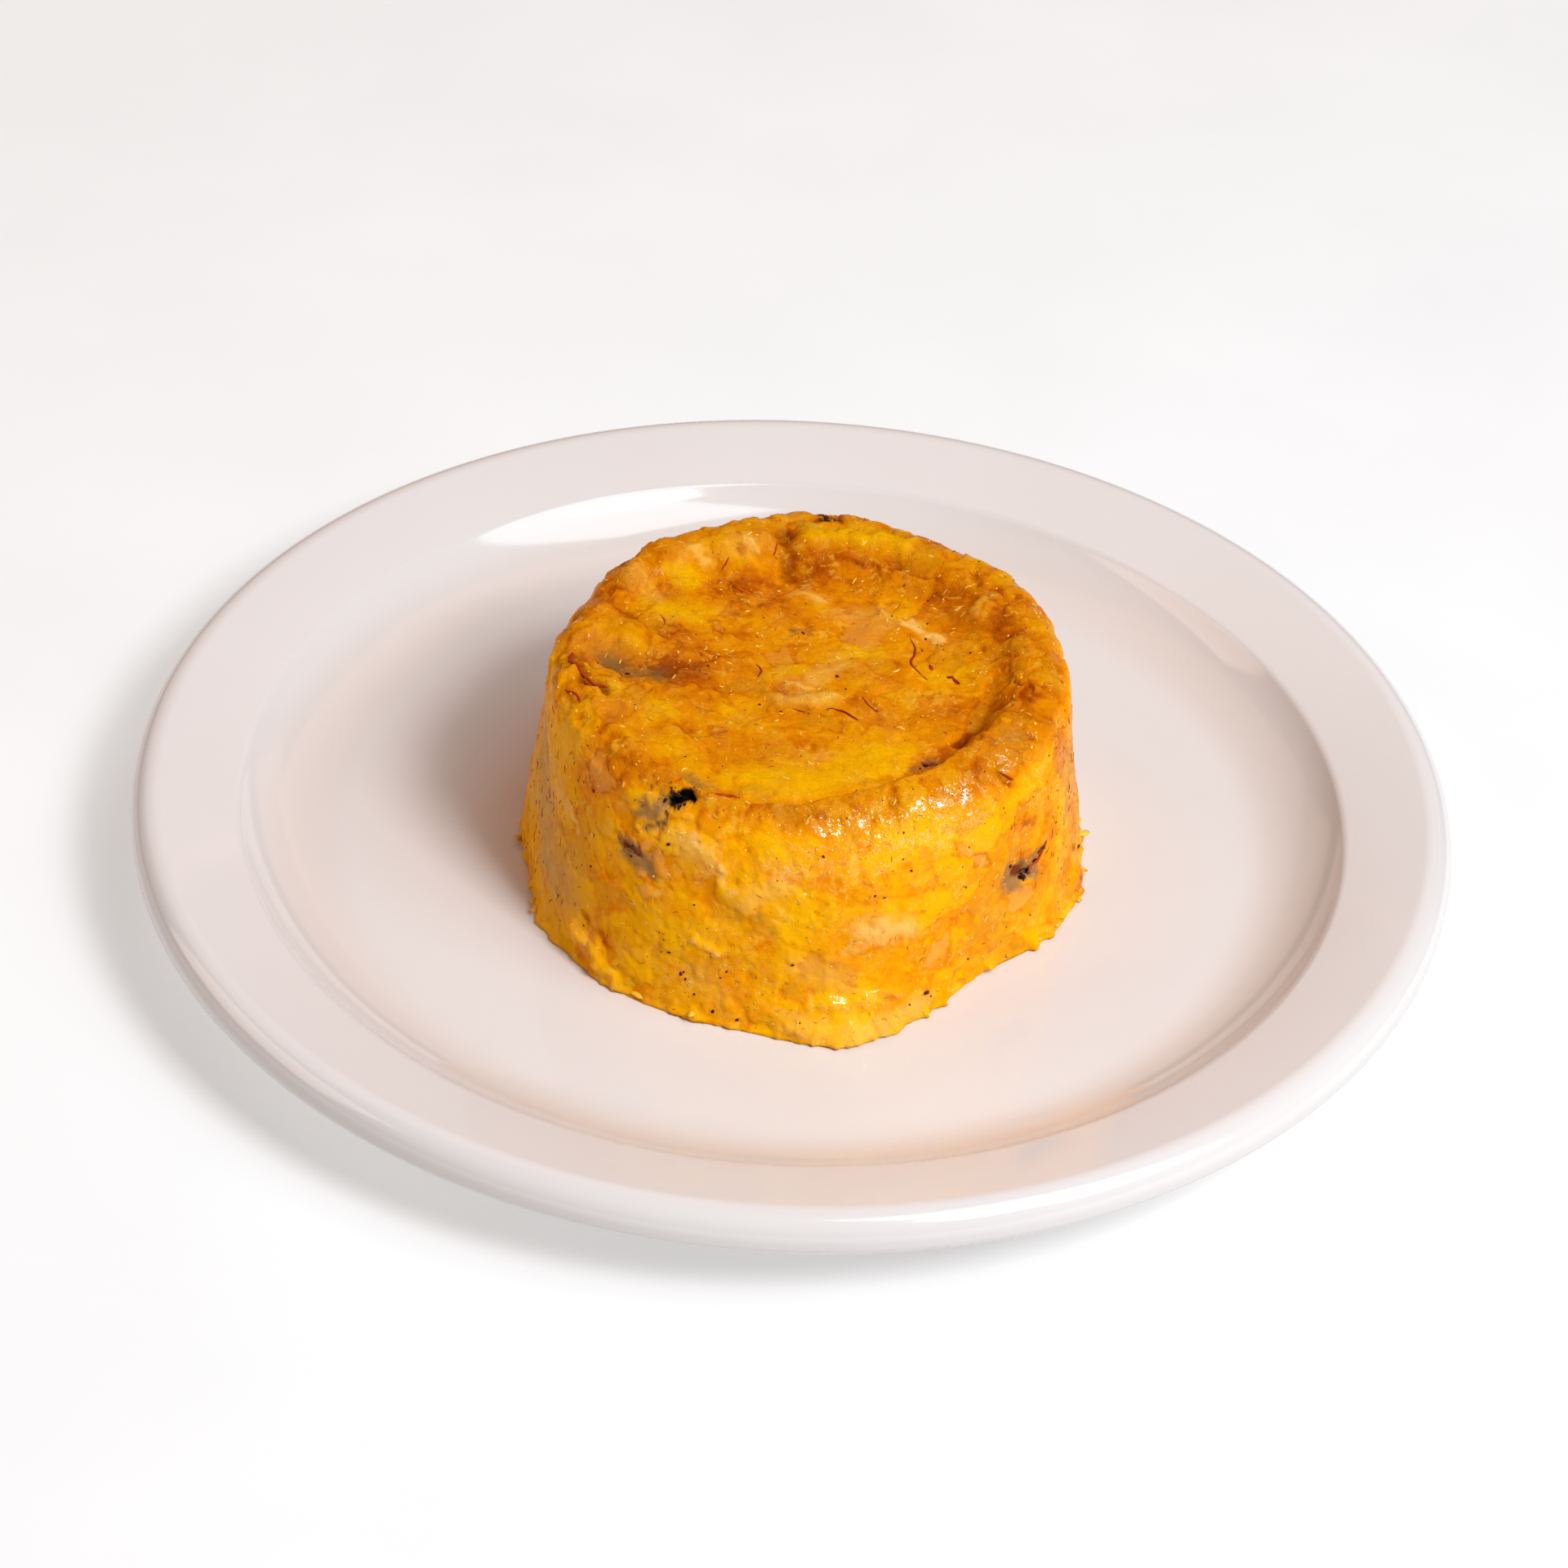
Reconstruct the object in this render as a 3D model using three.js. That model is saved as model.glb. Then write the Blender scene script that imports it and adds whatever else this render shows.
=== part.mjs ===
// A serving of trifongo, moulded plantain mash turned out of a cup, on a round glazed plate.
// Millimetres, +Z up. The origin is the middle of the plate's foot, at the height of the table.

import * as THREE from 'three';

const degree = Math.PI / 180;
const wideStride = 7;
const tightStride = 13.5;

// ---- Plate: narrow sloping rim, rolled edge, flat well floor, foot ring underneath.
const plateRadius = 120;
const plateFacets = 64;
const footHeight = 3.5;
const footInnerRadius = 65.8;
const footOuterRadius = 70.2;
const footBevel = 0.9;
const footFlare = 1.6;
const baseThickness = 5;
const wellFloorRadius = 84;
const wellFilletRadius = 21;
const wellWallSlope = 50;
const rimCornerRadius = 3;
const rimSlope = 17.5;
const lipTopRadius = 4.2;
const lipBottomRadius = 1.9;
const lipThickness = 7;
const lipInset = 4.4;
const undersideSlope = 42;
const rimUndersideRadius = 113;
const rimThickness = 4.7;

// ---- Trifongo: a short drum, wider at its foot, with a sunken top.
const restingGap = 0.3;
const drumCentre = { x: 1.6, y: -6.7 };
const drumFacets = 60;
const drumHeight = 43.6;
const drumFootRadius = 51.6;
const drumShoulderRadius = 46.8;
const shoulderRadius = 6;
const wallRingHeights = [0, 2, 6, 13, 21, 29];
const topRingRadii = [39.4, 37.9, 36.3, 34.5, 32, 27, 19, 10, 0];
const dishDepth = 4.4;
const dishRadius = 40;
const dishBank = 3.2;
const dishBackBank = { bearing: 62, spread: 72, wider: 8.5 };

// How the wall leaves the round at a bearing from +X: how far the foot and the shoulder stand out.
const wallSwells = [
  { bearing: -124, spread: 20, foot: 0.9, shoulder: 0 },
  { bearing: -80, spread: 16, foot: 1, shoulder: 0.3 },
  { bearing: -48, spread: 28, foot: -1.7, shoulder: 0 },
  { bearing: -44, spread: 15, foot: -3.4, shoulder: 0.6 },
  { bearing: 8, spread: 16, foot: 0, shoulder: -0.8 },
  { bearing: 34, spread: 22, foot: 0.4, shoulder: 1.4 },
  { bearing: 88, spread: 22, foot: 0.4, shoulder: 1.8 },
  { bearing: 122, spread: 12, foot: 0, shoulder: -1.1 },
  { bearing: 158, spread: 17, foot: -0.4, shoulder: -1.9 },
  { bearing: 192, spread: 14, foot: -1.7, shoulder: -0.6 },
];

// Where the foot alone stands out as a skirt, and the heights between which that ends.
const footSkirt = { bearing: -80, spread: 13, out: 2.7, low: 1.5, high: 9 };

// Where the shoulder has slumped, and how far round the shoulder that reaches.
const frontSlump = { bearing: -74, spread: 44, depth: 2.7, reach: 7.5 };

// How the dish's edge leaves the round, and where its bank is low or fades out.
const dishSwells = [
  { bearing: -108, spread: 24, out: 3.6 },
  { bearing: -30, spread: 30, out: -2.8 },
  { bearing: 52, spread: 17, out: 2.6 },
  { bearing: 98, spread: 20, out: -3.0 },
];
const openBanks = [
  { bearing: 192, spread: 46, share: 0.9, innerRadius: 12, outerRadius: 36 },
  { bearing: 18, spread: 32, share: 0.58, innerRadius: 24, outerRadius: 40 },
];

// Lumps and hollows of the top, placed from the drum's axis.
const topLumps = [
  { x: -26, y: 29, spread: 6, rise: 1.2 },
  { x: -37, y: 10, spread: 6, rise: 1.3 },
  { x: -14, y: 35, spread: 5, rise: 1.6 },
  { x: -8, y: 27, spread: 4, rise: -1.6 },
  { x: -31, y: 2, spread: 6, rise: -1.8 },
  { x: 22, y: -34, spread: 10, rise: 0.7 },
  { x: 2, y: -8, spread: 13, rise: 0.8 },
];

// Points along a circular arc in the plane of radius and height, one for every few degrees.
function arc(centre, radius, from, to, stride) {
  const steps = Math.ceil(Math.abs(to - from) / stride);
  const points = [];
  for (let step = 0; step <= steps; step += 1) {
    const angle = (from + ((to - from) * step) / steps) * degree;
    const across = centre.x + radius * Math.cos(angle);
    const up = centre.y + radius * Math.sin(angle);
    points.push(new THREE.Vector2(across, up));
  }
  return points;
}

// A profile of radius and height turned about +Z.
function turned(profile, facets) {
  const geometry = new THREE.LatheGeometry(profile, facets);
  geometry.rotateX(Math.PI / 2);
  return geometry;
}

function plateProfile() {
  const floor = footHeight + baseThickness;
  const fillet = new THREE.Vector2(wellFloorRadius, floor + wellFilletRadius);
  const wall = arc(fillet, wellFilletRadius, wellWallSlope - 90, -90, wideStride);
  const wallTop = wall[0];

  const inward = new THREE.Vector2(Math.sin(wellWallSlope * degree), -Math.cos(wellWallSlope * degree));
  const corner = wallTop.clone().addScaledVector(inward, rimCornerRadius);
  const rimCorner = arc(corner, rimCornerRadius, 90 + rimSlope, 90 + wellWallSlope, wideStride);
  const rimStart = rimCorner[0];

  const lipCentreRadius = plateRadius - lipTopRadius;
  const rimEnd = lipCentreRadius - lipTopRadius * Math.sin(rimSlope * degree);
  const rimEndHeight = rimStart.y + (rimEnd - rimStart.x) * Math.tan(rimSlope * degree);
  const lipCentreHeight = rimEndHeight - lipTopRadius * Math.cos(rimSlope * degree);
  const lipCentre = new THREE.Vector2(lipCentreRadius, lipCentreHeight);
  const lipTop = arc(lipCentre, lipTopRadius, 0, 90 + rimSlope, tightStride);

  const lipBottomHeight = lipCentreHeight + lipTopRadius - lipThickness;
  const lipHeel = new THREE.Vector2(plateRadius - lipBottomRadius, lipBottomHeight + lipBottomRadius);
  const lipBottom = arc(lipHeel, lipBottomRadius, -90, 0, 2 * tightStride);
  const rimAbove = rimEndHeight - (rimEnd - rimUndersideRadius) * Math.tan(rimSlope * degree);
  const underside = arc(fillet, wellFilletRadius + baseThickness, -90, undersideSlope - 90, wideStride);

  return [
    new THREE.Vector2(0, footHeight),
    new THREE.Vector2(footInnerRadius - footFlare - footBevel, footHeight),
    new THREE.Vector2(footInnerRadius - footBevel, footBevel),
    new THREE.Vector2(footInnerRadius, 0),
    new THREE.Vector2(footOuterRadius, 0),
    new THREE.Vector2(footOuterRadius + footBevel, footBevel),
    new THREE.Vector2(footOuterRadius + footFlare + footBevel, footHeight),
    ...underside,
    new THREE.Vector2(rimUndersideRadius, rimAbove - rimThickness),
    new THREE.Vector2(plateRadius - lipInset, lipBottomHeight),
    ...lipBottom,
    ...lipTop,
    ...rimCorner,
    ...wall.slice(1),
    new THREE.Vector2(0, floor),
  ];
}

// One at the given bearing, fading to nothing away from it, the short way round the circle.
function swell(bearing, at, spread) {
  const apart = Math.atan2(Math.sin((bearing - at) * degree), Math.cos((bearing - at) * degree)) / degree;
  return Math.exp(-((apart / spread) ** 2));
}

function sum(list, amount) {
  return list.reduce((total, item) => total + amount(item), 0);
}

// How far the top has sunk below the drum's crown at a place on it.
function topSink(radius, bearing) {
  const edge = dishRadius + sum(dishSwells, (item) => item.out * swell(bearing, item.bearing, item.spread));
  const wider = dishBackBank.wider * swell(bearing, dishBackBank.bearing, dishBackBank.spread);
  const bank = THREE.MathUtils.smoothstep(edge - radius, 0, dishBank + wider);
  const open = sum(openBanks, (item) => {
    const openness = THREE.MathUtils.smoothstep(radius, item.innerRadius, item.outerRadius);
    return item.share * openness * swell(bearing, item.bearing, item.spread);
  });
  const x = radius * Math.cos(bearing * degree);
  const y = radius * Math.sin(bearing * degree);
  const lumps = sum(topLumps, (lump) => {
    const away = ((x - lump.x) ** 2 + (y - lump.y) ** 2) / lump.spread ** 2;
    return lump.rise * Math.exp(-away);
  });
  return dishDepth * bank * (1 - open) - lumps;
}

// How far a place on the shoulder has slumped, both inwards and downwards.
function shoulderSlump(radius, height, bearing) {
  const middle = shoulderRadius * Math.SQRT1_2;
  const across = radius - (drumShoulderRadius - shoulderRadius + middle);
  const up = height - (drumHeight - shoulderRadius + middle);
  const share = Math.exp(-((Math.hypot(across, up) / frontSlump.reach) ** 2));
  return frontSlump.depth * Math.SQRT1_2 * share * swell(bearing, frontSlump.bearing, frontSlump.spread);
}

function drumProfile() {
  const slope = (drumFootRadius - drumShoulderRadius) / (drumHeight - shoulderRadius);
  const wall = wallRingHeights.map((height) => new THREE.Vector2(drumFootRadius - slope * height, height));
  const shoulderCentre = new THREE.Vector2(drumShoulderRadius - shoulderRadius, drumHeight - shoulderRadius);
  const shoulder = arc(shoulderCentre, shoulderRadius, 0, 90, tightStride);
  const top = topRingRadii.map((radius) => new THREE.Vector2(radius, drumHeight));
  return [new THREE.Vector2(0, 0), ...wall, ...shoulder, ...top];
}

// The round drum pushed out and in at its foot and shoulder, slumped at the front and sunk over its top.
function drumGeometry() {
  const geometry = turned(drumProfile(), drumFacets);
  const places = geometry.attributes.position;
  for (let index = 0; index < places.count; index += 1) {
    const x = places.getX(index);
    const y = places.getY(index);
    const height = places.getZ(index);
    const radius = Math.hypot(x, y);
    const bearing = Math.atan2(y, x) / degree;
    const rise = Math.min(height / (drumHeight - shoulderRadius), 1);
    const reach = Math.min(radius / drumShoulderRadius, 1);
    const out = sum(wallSwells, (item) => {
      const amount = THREE.MathUtils.lerp(item.foot, item.shoulder, rise);
      return amount * swell(bearing, item.bearing, item.spread);
    });
    const low = 1 - THREE.MathUtils.smoothstep(height, footSkirt.low, footSkirt.high);
    const skirt = footSkirt.out * low * swell(bearing, footSkirt.bearing, footSkirt.spread);
    const wideRadius = radius + (out + skirt) * reach;
    const slump = shoulderSlump(radius, height, bearing);
    const capShare = THREE.MathUtils.smoothstep(height, drumHeight - shoulderRadius, drumHeight);
    const newRadius = wideRadius - slump;
    places.setX(index, newRadius * Math.cos(bearing * degree));
    places.setY(index, newRadius * Math.sin(bearing * degree));
    places.setZ(index, height - topSink(wideRadius, bearing) * capShare - slump);
  }
  geometry.computeVertexNormals();
  return geometry;
}

function plate() {
  const glaze = new THREE.MeshStandardMaterial({ color: 0xf0e2dc, roughness: 0.12, metalness: 0 });
  const mesh = new THREE.Mesh(turned(plateProfile(), plateFacets), glaze);
  mesh.name = 'plate';
  return mesh;
}

function trifongo() {
  const mash = new THREE.MeshStandardMaterial({ color: 0xe39a1c, roughness: 0.42, metalness: 0 });
  const mesh = new THREE.Mesh(drumGeometry(), mash);
  mesh.name = 'trifongo';
  mesh.position.set(drumCentre.x, drumCentre.y, footHeight + baseThickness + restingGap);
  return mesh;
}

const serving = new THREE.Group();
serving.add(plate(), trifongo());

export default serving;
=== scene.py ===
"""Looks of the plate of trifongo: a glazed dinner plate and a moulded drum of moist plantain mash.

Blender works in metres. Sizes here are millimetres, unless a comment says metres, and become metres through
MM. +Z is up and -Y is the viewer's side.
"""

import math
import random

import bmesh
import bpy
import numpy as np
from mathutils import Matrix, Vector, noise
from mathutils.bvhtree import BVHTree


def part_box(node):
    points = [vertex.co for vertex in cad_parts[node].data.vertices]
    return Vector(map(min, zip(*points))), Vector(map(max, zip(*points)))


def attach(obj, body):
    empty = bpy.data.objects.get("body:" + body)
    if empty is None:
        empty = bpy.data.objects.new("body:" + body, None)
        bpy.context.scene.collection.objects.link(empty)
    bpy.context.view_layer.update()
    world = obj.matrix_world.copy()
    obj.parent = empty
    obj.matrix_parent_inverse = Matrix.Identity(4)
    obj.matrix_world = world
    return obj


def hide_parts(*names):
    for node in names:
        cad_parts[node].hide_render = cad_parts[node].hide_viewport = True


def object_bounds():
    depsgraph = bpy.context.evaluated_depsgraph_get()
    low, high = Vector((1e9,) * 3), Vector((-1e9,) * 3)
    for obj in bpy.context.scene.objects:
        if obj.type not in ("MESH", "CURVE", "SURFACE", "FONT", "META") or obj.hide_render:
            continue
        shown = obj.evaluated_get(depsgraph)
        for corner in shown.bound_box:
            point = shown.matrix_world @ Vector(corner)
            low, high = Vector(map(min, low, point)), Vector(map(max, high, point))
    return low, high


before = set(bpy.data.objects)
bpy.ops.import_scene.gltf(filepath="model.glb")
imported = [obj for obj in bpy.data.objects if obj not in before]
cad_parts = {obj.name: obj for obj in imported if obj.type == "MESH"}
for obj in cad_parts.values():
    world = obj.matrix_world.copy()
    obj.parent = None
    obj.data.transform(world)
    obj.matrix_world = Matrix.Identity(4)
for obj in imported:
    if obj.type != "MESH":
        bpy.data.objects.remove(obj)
cad_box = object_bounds()

MM = 0.001

# ---- Plate
PLATE_RADIUS = 120
PLATE_SEGMENTS = 256
ARC_STRIDE = 2.5
FOOT_HEIGHT = 3.5
FOOT_INNER_RADIUS = 65.8
FOOT_OUTER_RADIUS = 70.2
FOOT_BEVEL = 0.9
FOOT_FLARE = 1.6
BASE_THICKNESS = 5
PLATE_FLOOR = FOOT_HEIGHT + BASE_THICKNESS
WELL_FLOOR_RADIUS = 84
WELL_FILLET_RADIUS = 21
WELL_WALL_SLOPE = 50
RIM_CORNER_RADIUS = 3
RIM_SLOPE = 17.5
LIP_TOP_RADIUS = 4.2
LIP_BOTTOM_RADIUS = 1.9
LIP_THICKNESS = 7
LIP_INSET = 4.4
UNDERSIDE_SLOPE = 42
RIM_UNDERSIDE_RADIUS = 113
RIM_THICKNESS = 4.7
SHARP_ANGLE = 38

# ---- Drum of mash. It has the CAD drum's form, with the relief of the real mash on it.
DRUM_CENTRE = (1.6, -6.7)
DRUM_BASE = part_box("trifongo")[0].z / MM
DRUM_HEIGHT = 43.6
DRUM_FOOT_RADIUS = 51.6
DRUM_SHOULDER_RADIUS = 46.8
SHOULDER_ROUNDING = 6
WALL_TOP = DRUM_HEIGHT - SHOULDER_ROUNDING
CROWN_RADIUS = DRUM_SHOULDER_RADIUS - SHOULDER_ROUNDING
DISH_DEPTH = 4.4
DISH_RADIUS = 40
DISH_BANK = 3.2
DISH_BACK_BANK = (62, 72, 8.5)
CAGE_SEGMENTS = 40
CAGE_RINGS = 6
CAGE_SPAN = 10
CAGE_HALVINGS = 4

# Round its foot the mash sinks to the plate. Its relief stays above its base and ends softly under its top.
DRUM_SINK = 0.27
SINK_REACH = 4
BASE_LEVEL = 0.05
LEAST_LEVEL = 0.03
TOP_CLEARANCE = 0.1
TOP_SOFTNESS = 0.25
TOP_GIVE = 0.3

# How the wall leaves the round: bearing from +X, spread in degrees, how far foot and shoulder stand out.
WALL_SWELLS = [
    (-124, 20, 0.9, 0.0),
    (-80, 16, 1.0, 0.3),
    (-48, 28, -1.7, 0.0),
    (-44, 15, -3.4, 0.6),
    (8, 16, 0.0, -0.8),
    (34, 22, 0.4, 1.4),
    (88, 22, 0.4, 1.8),
    (122, 12, 0.0, -1.1),
    (158, 17, -0.4, -1.9),
    (192, 14, -1.7, -0.6),
]

# Where the foot alone stands out, as a torn skirt: bearing, spread, how far, the heights where it ends.
FOOT_SKIRT = (-80, 13, 2.7, 1.5, 9)

# Where the shoulder has slumped: bearing, spread, how deep, and how far round the shoulder it reaches.
FRONT_SLUMP = (-74, 44, 2.7, 7.5)

# How the dish's edge leaves the round: bearing, spread, how far out.
DISH_SWELLS = [(-108, 24, 3.6), (-30, 30, -2.8), (52, 17, 2.6), (98, 20, -3.0)]

# Where the dish's bank fades out or is low: bearing, spread, share, the radii between which it does.
OPEN_BANKS = [(192, 46, 0.9, 12, 36), (18, 32, 0.58, 24, 40)]

# Broad lumps and hollows of the top: x, y, spread, rise.
TOP_LUMPS = [
    (-26, 29, 6, 1.2),
    (-37, 10, 6, 1.3),
    (-14, 35, 5, 1.6),
    (-8, 27, 4, -1.6),
    (-31, 2, 6, -1.8),
    (22, -34, 10, 0.7),
    (2, -8, 13, 0.8),
]


# ======================================================================== small helpers


def smoothstep(value, low, high):
    """0 below low and 1 above high, with a smooth ramp between."""
    share = np.clip((value - low) / (high - low), 0, 1)
    return share * share * (3 - 2 * share)


def arc(centre, radius, start, stop, stride=ARC_STRIDE):
    """Points (radius, height) along a circular arc, one for every few degrees."""
    steps = math.ceil(abs(stop - start) / stride)
    angles = [math.radians(start + (stop - start) * step / steps) for step in range(steps + 1)]
    return [(centre[0] + radius * math.cos(a), centre[1] + radius * math.sin(a)) for a in angles]


def deselect_all():
    bpy.ops.object.select_all(action="DESELECT")


def make_active(piece):
    deselect_all()
    piece.select_set(True)
    bpy.context.view_layer.objects.active = piece


def new_piece(name, places, faces=(), edges=()):
    """A mesh object at the origin, from places in millimetres."""
    mesh = bpy.data.meshes.new(name)
    mesh.from_pydata([tuple(c * MM for c in place) for place in places], edges, faces)
    mesh.update()
    piece = bpy.data.objects.new(name, mesh)
    bpy.context.scene.collection.objects.link(piece)
    return piece


def give_attribute(piece, name, values):
    attribute = piece.data.attributes.new(name, "FLOAT", "POINT")
    attribute.data.foreach_set("value", np.asarray(values, np.float32))


def finish_piece(piece, material, replaced=None):
    """Every piece has one material, rides on the one body and may stand for a CAD node."""
    piece.data.materials.append(material)
    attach(piece, "root")
    if replaced:
        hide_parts(replaced)


# ======================================================================== shader expressions


class Signal:
    """A shader socket that arithmetic works on. Each operation adds one Math node."""

    def __init__(self, shader, socket):
        self.shader = shader
        self.socket = socket

    def math(self, operation, other=None, clamp=False, first=None):
        inputs = {0: self if first is None else first}
        if other is not None:
            inputs[1] = other
        return self.shader.add("ShaderNodeMath", {"operation": operation, "use_clamp": clamp}, inputs)

    def __add__(self, other):
        return self.math("ADD", other)

    def __sub__(self, other):
        return self.math("SUBTRACT", other)

    def __rsub__(self, other):
        return self.math("SUBTRACT", self, first=other)

    def __mul__(self, other):
        return self.math("MULTIPLY", other)

    __radd__ = __add__
    __rmul__ = __mul__

    def magnitude(self):
        return self.math("ABSOLUTE")

    def clamped(self):
        return self.math("ADD", 0.0, clamp=True)

    def step(self, low, high):
        """0 below low and 1 above high, with a smooth ramp between."""
        settings = {"interpolation_type": "SMOOTHSTEP"}
        return self.shader.add("ShaderNodeMapRange", settings, {0: self, 1: low, 2: high})


class Shader:
    """A material's nodes. add() makes any node from its type, its settings and its sockets' values."""

    def __init__(self, name):
        self.material = bpy.data.materials.new(name)
        self.material.use_nodes = True
        self.tree = self.material.node_tree
        self.tree.nodes.clear()
        self.output = self.tree.nodes.new("ShaderNodeOutputMaterial")
        coordinates = self.add("ShaderNodeTexCoord", output="Object")
        self.place = self.vector("SCALE", {0: coordinates, "Scale": 1 / MM})

    def add(self, kind, settings=None, inputs=None, output=0):
        node = self.tree.nodes.new(kind)
        for name, value in (settings or {}).items():
            setattr(node, name, value)
        for name, value in (inputs or {}).items():
            if isinstance(value, Signal):
                self.tree.links.new(value.socket, node.inputs[name])
            else:
                node.inputs[name].default_value = value
        return Signal(self, node.outputs[output])

    def vector(self, operation, inputs, output=0):
        return self.add("ShaderNodeVectorMath", {"operation": operation}, inputs, output)

    def noise(self, size, detail=2.0, roughness=0.5, distortion=0.0, shift=0.0):
        """Soft noise from 0 to 1, with features of about the given size in millimetres."""
        where = self.place
        if shift:
            where = self.vector("ADD", {0: where, 1: (shift, -shift, shift / 2)})
        inputs = {"Vector": where, "Scale": 1 / size, "Detail": detail}
        inputs.update({"Roughness": roughness, "Distortion": distortion})
        return self.add("ShaderNodeTexNoise", {}, inputs)

    def warped(self, size, amount):
        """Places pushed about by noise, so that a pattern read at them is ragged."""
        inputs = {"Vector": self.place, "Scale": 1 / size, "Detail": 2.0}
        push = self.add("ShaderNodeTexNoise", {}, inputs, "Color")
        centred = self.vector("SUBTRACT", {0: push, 1: (0.5, 0.5, 0.5)})
        scaled = self.vector("SCALE", {0: centred, "Scale": 2 * amount})
        return self.vector("ADD", {0: self.place, 1: scaled})

    def stretched(self, stretch, at=None):
        return self.vector("MULTIPLY", {0: at or self.place, 1: stretch})

    def cells(self, size, at=None):
        """The distance to the nearest cell's middle, and a random number for each cell."""
        inputs = {"Vector": at or self.place, "Scale": 1 / size}
        distance = self.add("ShaderNodeTexVoronoi", {}, inputs, "Distance")
        colour = Signal(self, distance.socket.node.outputs["Color"])
        return distance, self.add("ShaderNodeSeparateColor", {}, {0: colour}, "Red")

    def mix(self, share, first, second, blend="MIX"):
        """Colours mixed by a share. A Mix node's sockets 0, 6 and 7 are its factor and colours."""
        settings = {"data_type": "RGBA", "blend_type": blend}
        return self.add("ShaderNodeMix", settings, {0: share, 6: first, 7: second}, 2)

    def layer(self, name):
        """A piece's own point attribute."""
        return self.add("ShaderNodeAttribute", {"attribute_name": name}, output="Fac")

    def bump(self, height, strength, depth, under=None):
        inputs = {"Height": height, "Strength": strength, "Distance": depth * MM}
        if under is not None:
            inputs["Normal"] = under
        return self.add("ShaderNodeBump", {}, inputs)

    def surface(self, inputs):
        principled = self.add("ShaderNodeBsdfPrincipled", {}, inputs)
        self.tree.links.new(principled.socket, self.output.inputs["Surface"])
        return self.material


def shade(red, green, blue):
    """A colour given as it shows on a screen, from 0 to 255, as the linear colour that a shader takes."""
    linear = []
    for level in (red / 255, green / 255, blue / 255):
        linear.append(level / 12.92 if level <= 0.04045 else ((level + 0.055) / 1.055) ** 2.4)
    return (*linear, 1.0)


# ======================================================================== materials


WHITE_GLAZE = shade(220, 214, 212)
WARM_GLAZE = shade(217, 210, 207)
# Pooled glaze, darkened in part as painted shade of the well's wall.
POOLED_AND_SHADED_GLAZE = shade(212, 198, 189)
IRON_SPECK = shade(190, 165, 145)
BARE_CLAY = shade(214, 196, 174)

# The radii where the glaze pools in the well's corner, and the heights where it starts above the foot.
# There the glaze is also painted darker, as the shade in the well.
POOL_SHADE_STARTS = (80, 90)
POOL_SHADE_ENDS = (92, 101)
GLAZE_STARTS = (0.25, 0.6)


def plate_glaze():
    """White glaze with a warm cast, thicker and painted darker as shade in the well's corner, left off the
    foot.
    """
    shader = Shader("plate_glaze")
    height = shader.add("ShaderNodeSeparateXYZ", {}, {0: shader.place}, "Z")
    radius = shader.vector("LENGTH", {0: shader.stretched((1, 1, 0))}, "Value")
    pooled_and_shaded = radius.step(*POOL_SHADE_STARTS) * (1 - radius.step(*POOL_SHADE_ENDS))
    bare_foot = 1 - height.step(*GLAZE_STARTS)
    away, lot = shader.cells(2.6)
    speck = (1 - away.step(0.02, 0.05)) * lot.step(0.95, 0.96)
    body = shader.mix(shader.noise(38), WHITE_GLAZE, WARM_GLAZE)
    body = shader.mix(pooled_and_shaded * 0.5, body, POOLED_AND_SHADED_GLAZE)
    body = shader.mix(speck * 0.3, body, IRON_SPECK)
    body = shader.mix(bare_foot, body, BARE_CLAY)
    roughness = 0.085 + 0.05 * shader.noise(6, 3.0, 0.6) + bare_foot * 0.6
    ripple = shader.bump(shader.noise(21, 1.0), strength=0.25, depth=0.5)
    peel = shader.bump(shader.noise(1.6), strength=0.04, depth=0.06, under=ripple)
    return shader.surface({
        "Base Color": body,
        "Roughness": roughness.clamped(),
        "IOR": 1.5,
        "Coat Weight": (1 - bare_foot) * 0.25,
        "Coat Roughness": 0.04,
        "Normal": peel,
    })


GOLD = shade(251, 175, 4)
BUTTER = shade(255, 190, 3)
HONEY = shade(239, 141, 3)
AMBER = shade(204, 99, 3)
RUST = shade(164, 62, 3)
TOAST = shade(134, 52, 6)
PALE = shade(250, 196, 108)
# A painted sheen: the cream that the threads of the wet places are painted in, as their highlights.
PAINTED_SHEEN_CREAM = shade(255, 224, 138)
PEACH = shade(251, 188, 76)
OCHRE = shade(214, 146, 26)
# A painted highlight: the cream white of the tiny glints that are painted into the mash's colour.
PAINTED_GLINT = shade(255, 244, 214)
ASH = shade(138, 104, 72)
BLOOD = shade(112, 20, 6)
SOOT = shade(16, 12, 11)
PEPPER = shade(104, 48, 10)
# Multiplied into the colour where the top faces up, which makes it darker and browner.
CROWN_DARKENING = (0.75, 0.75, 0.4, 1)


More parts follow.
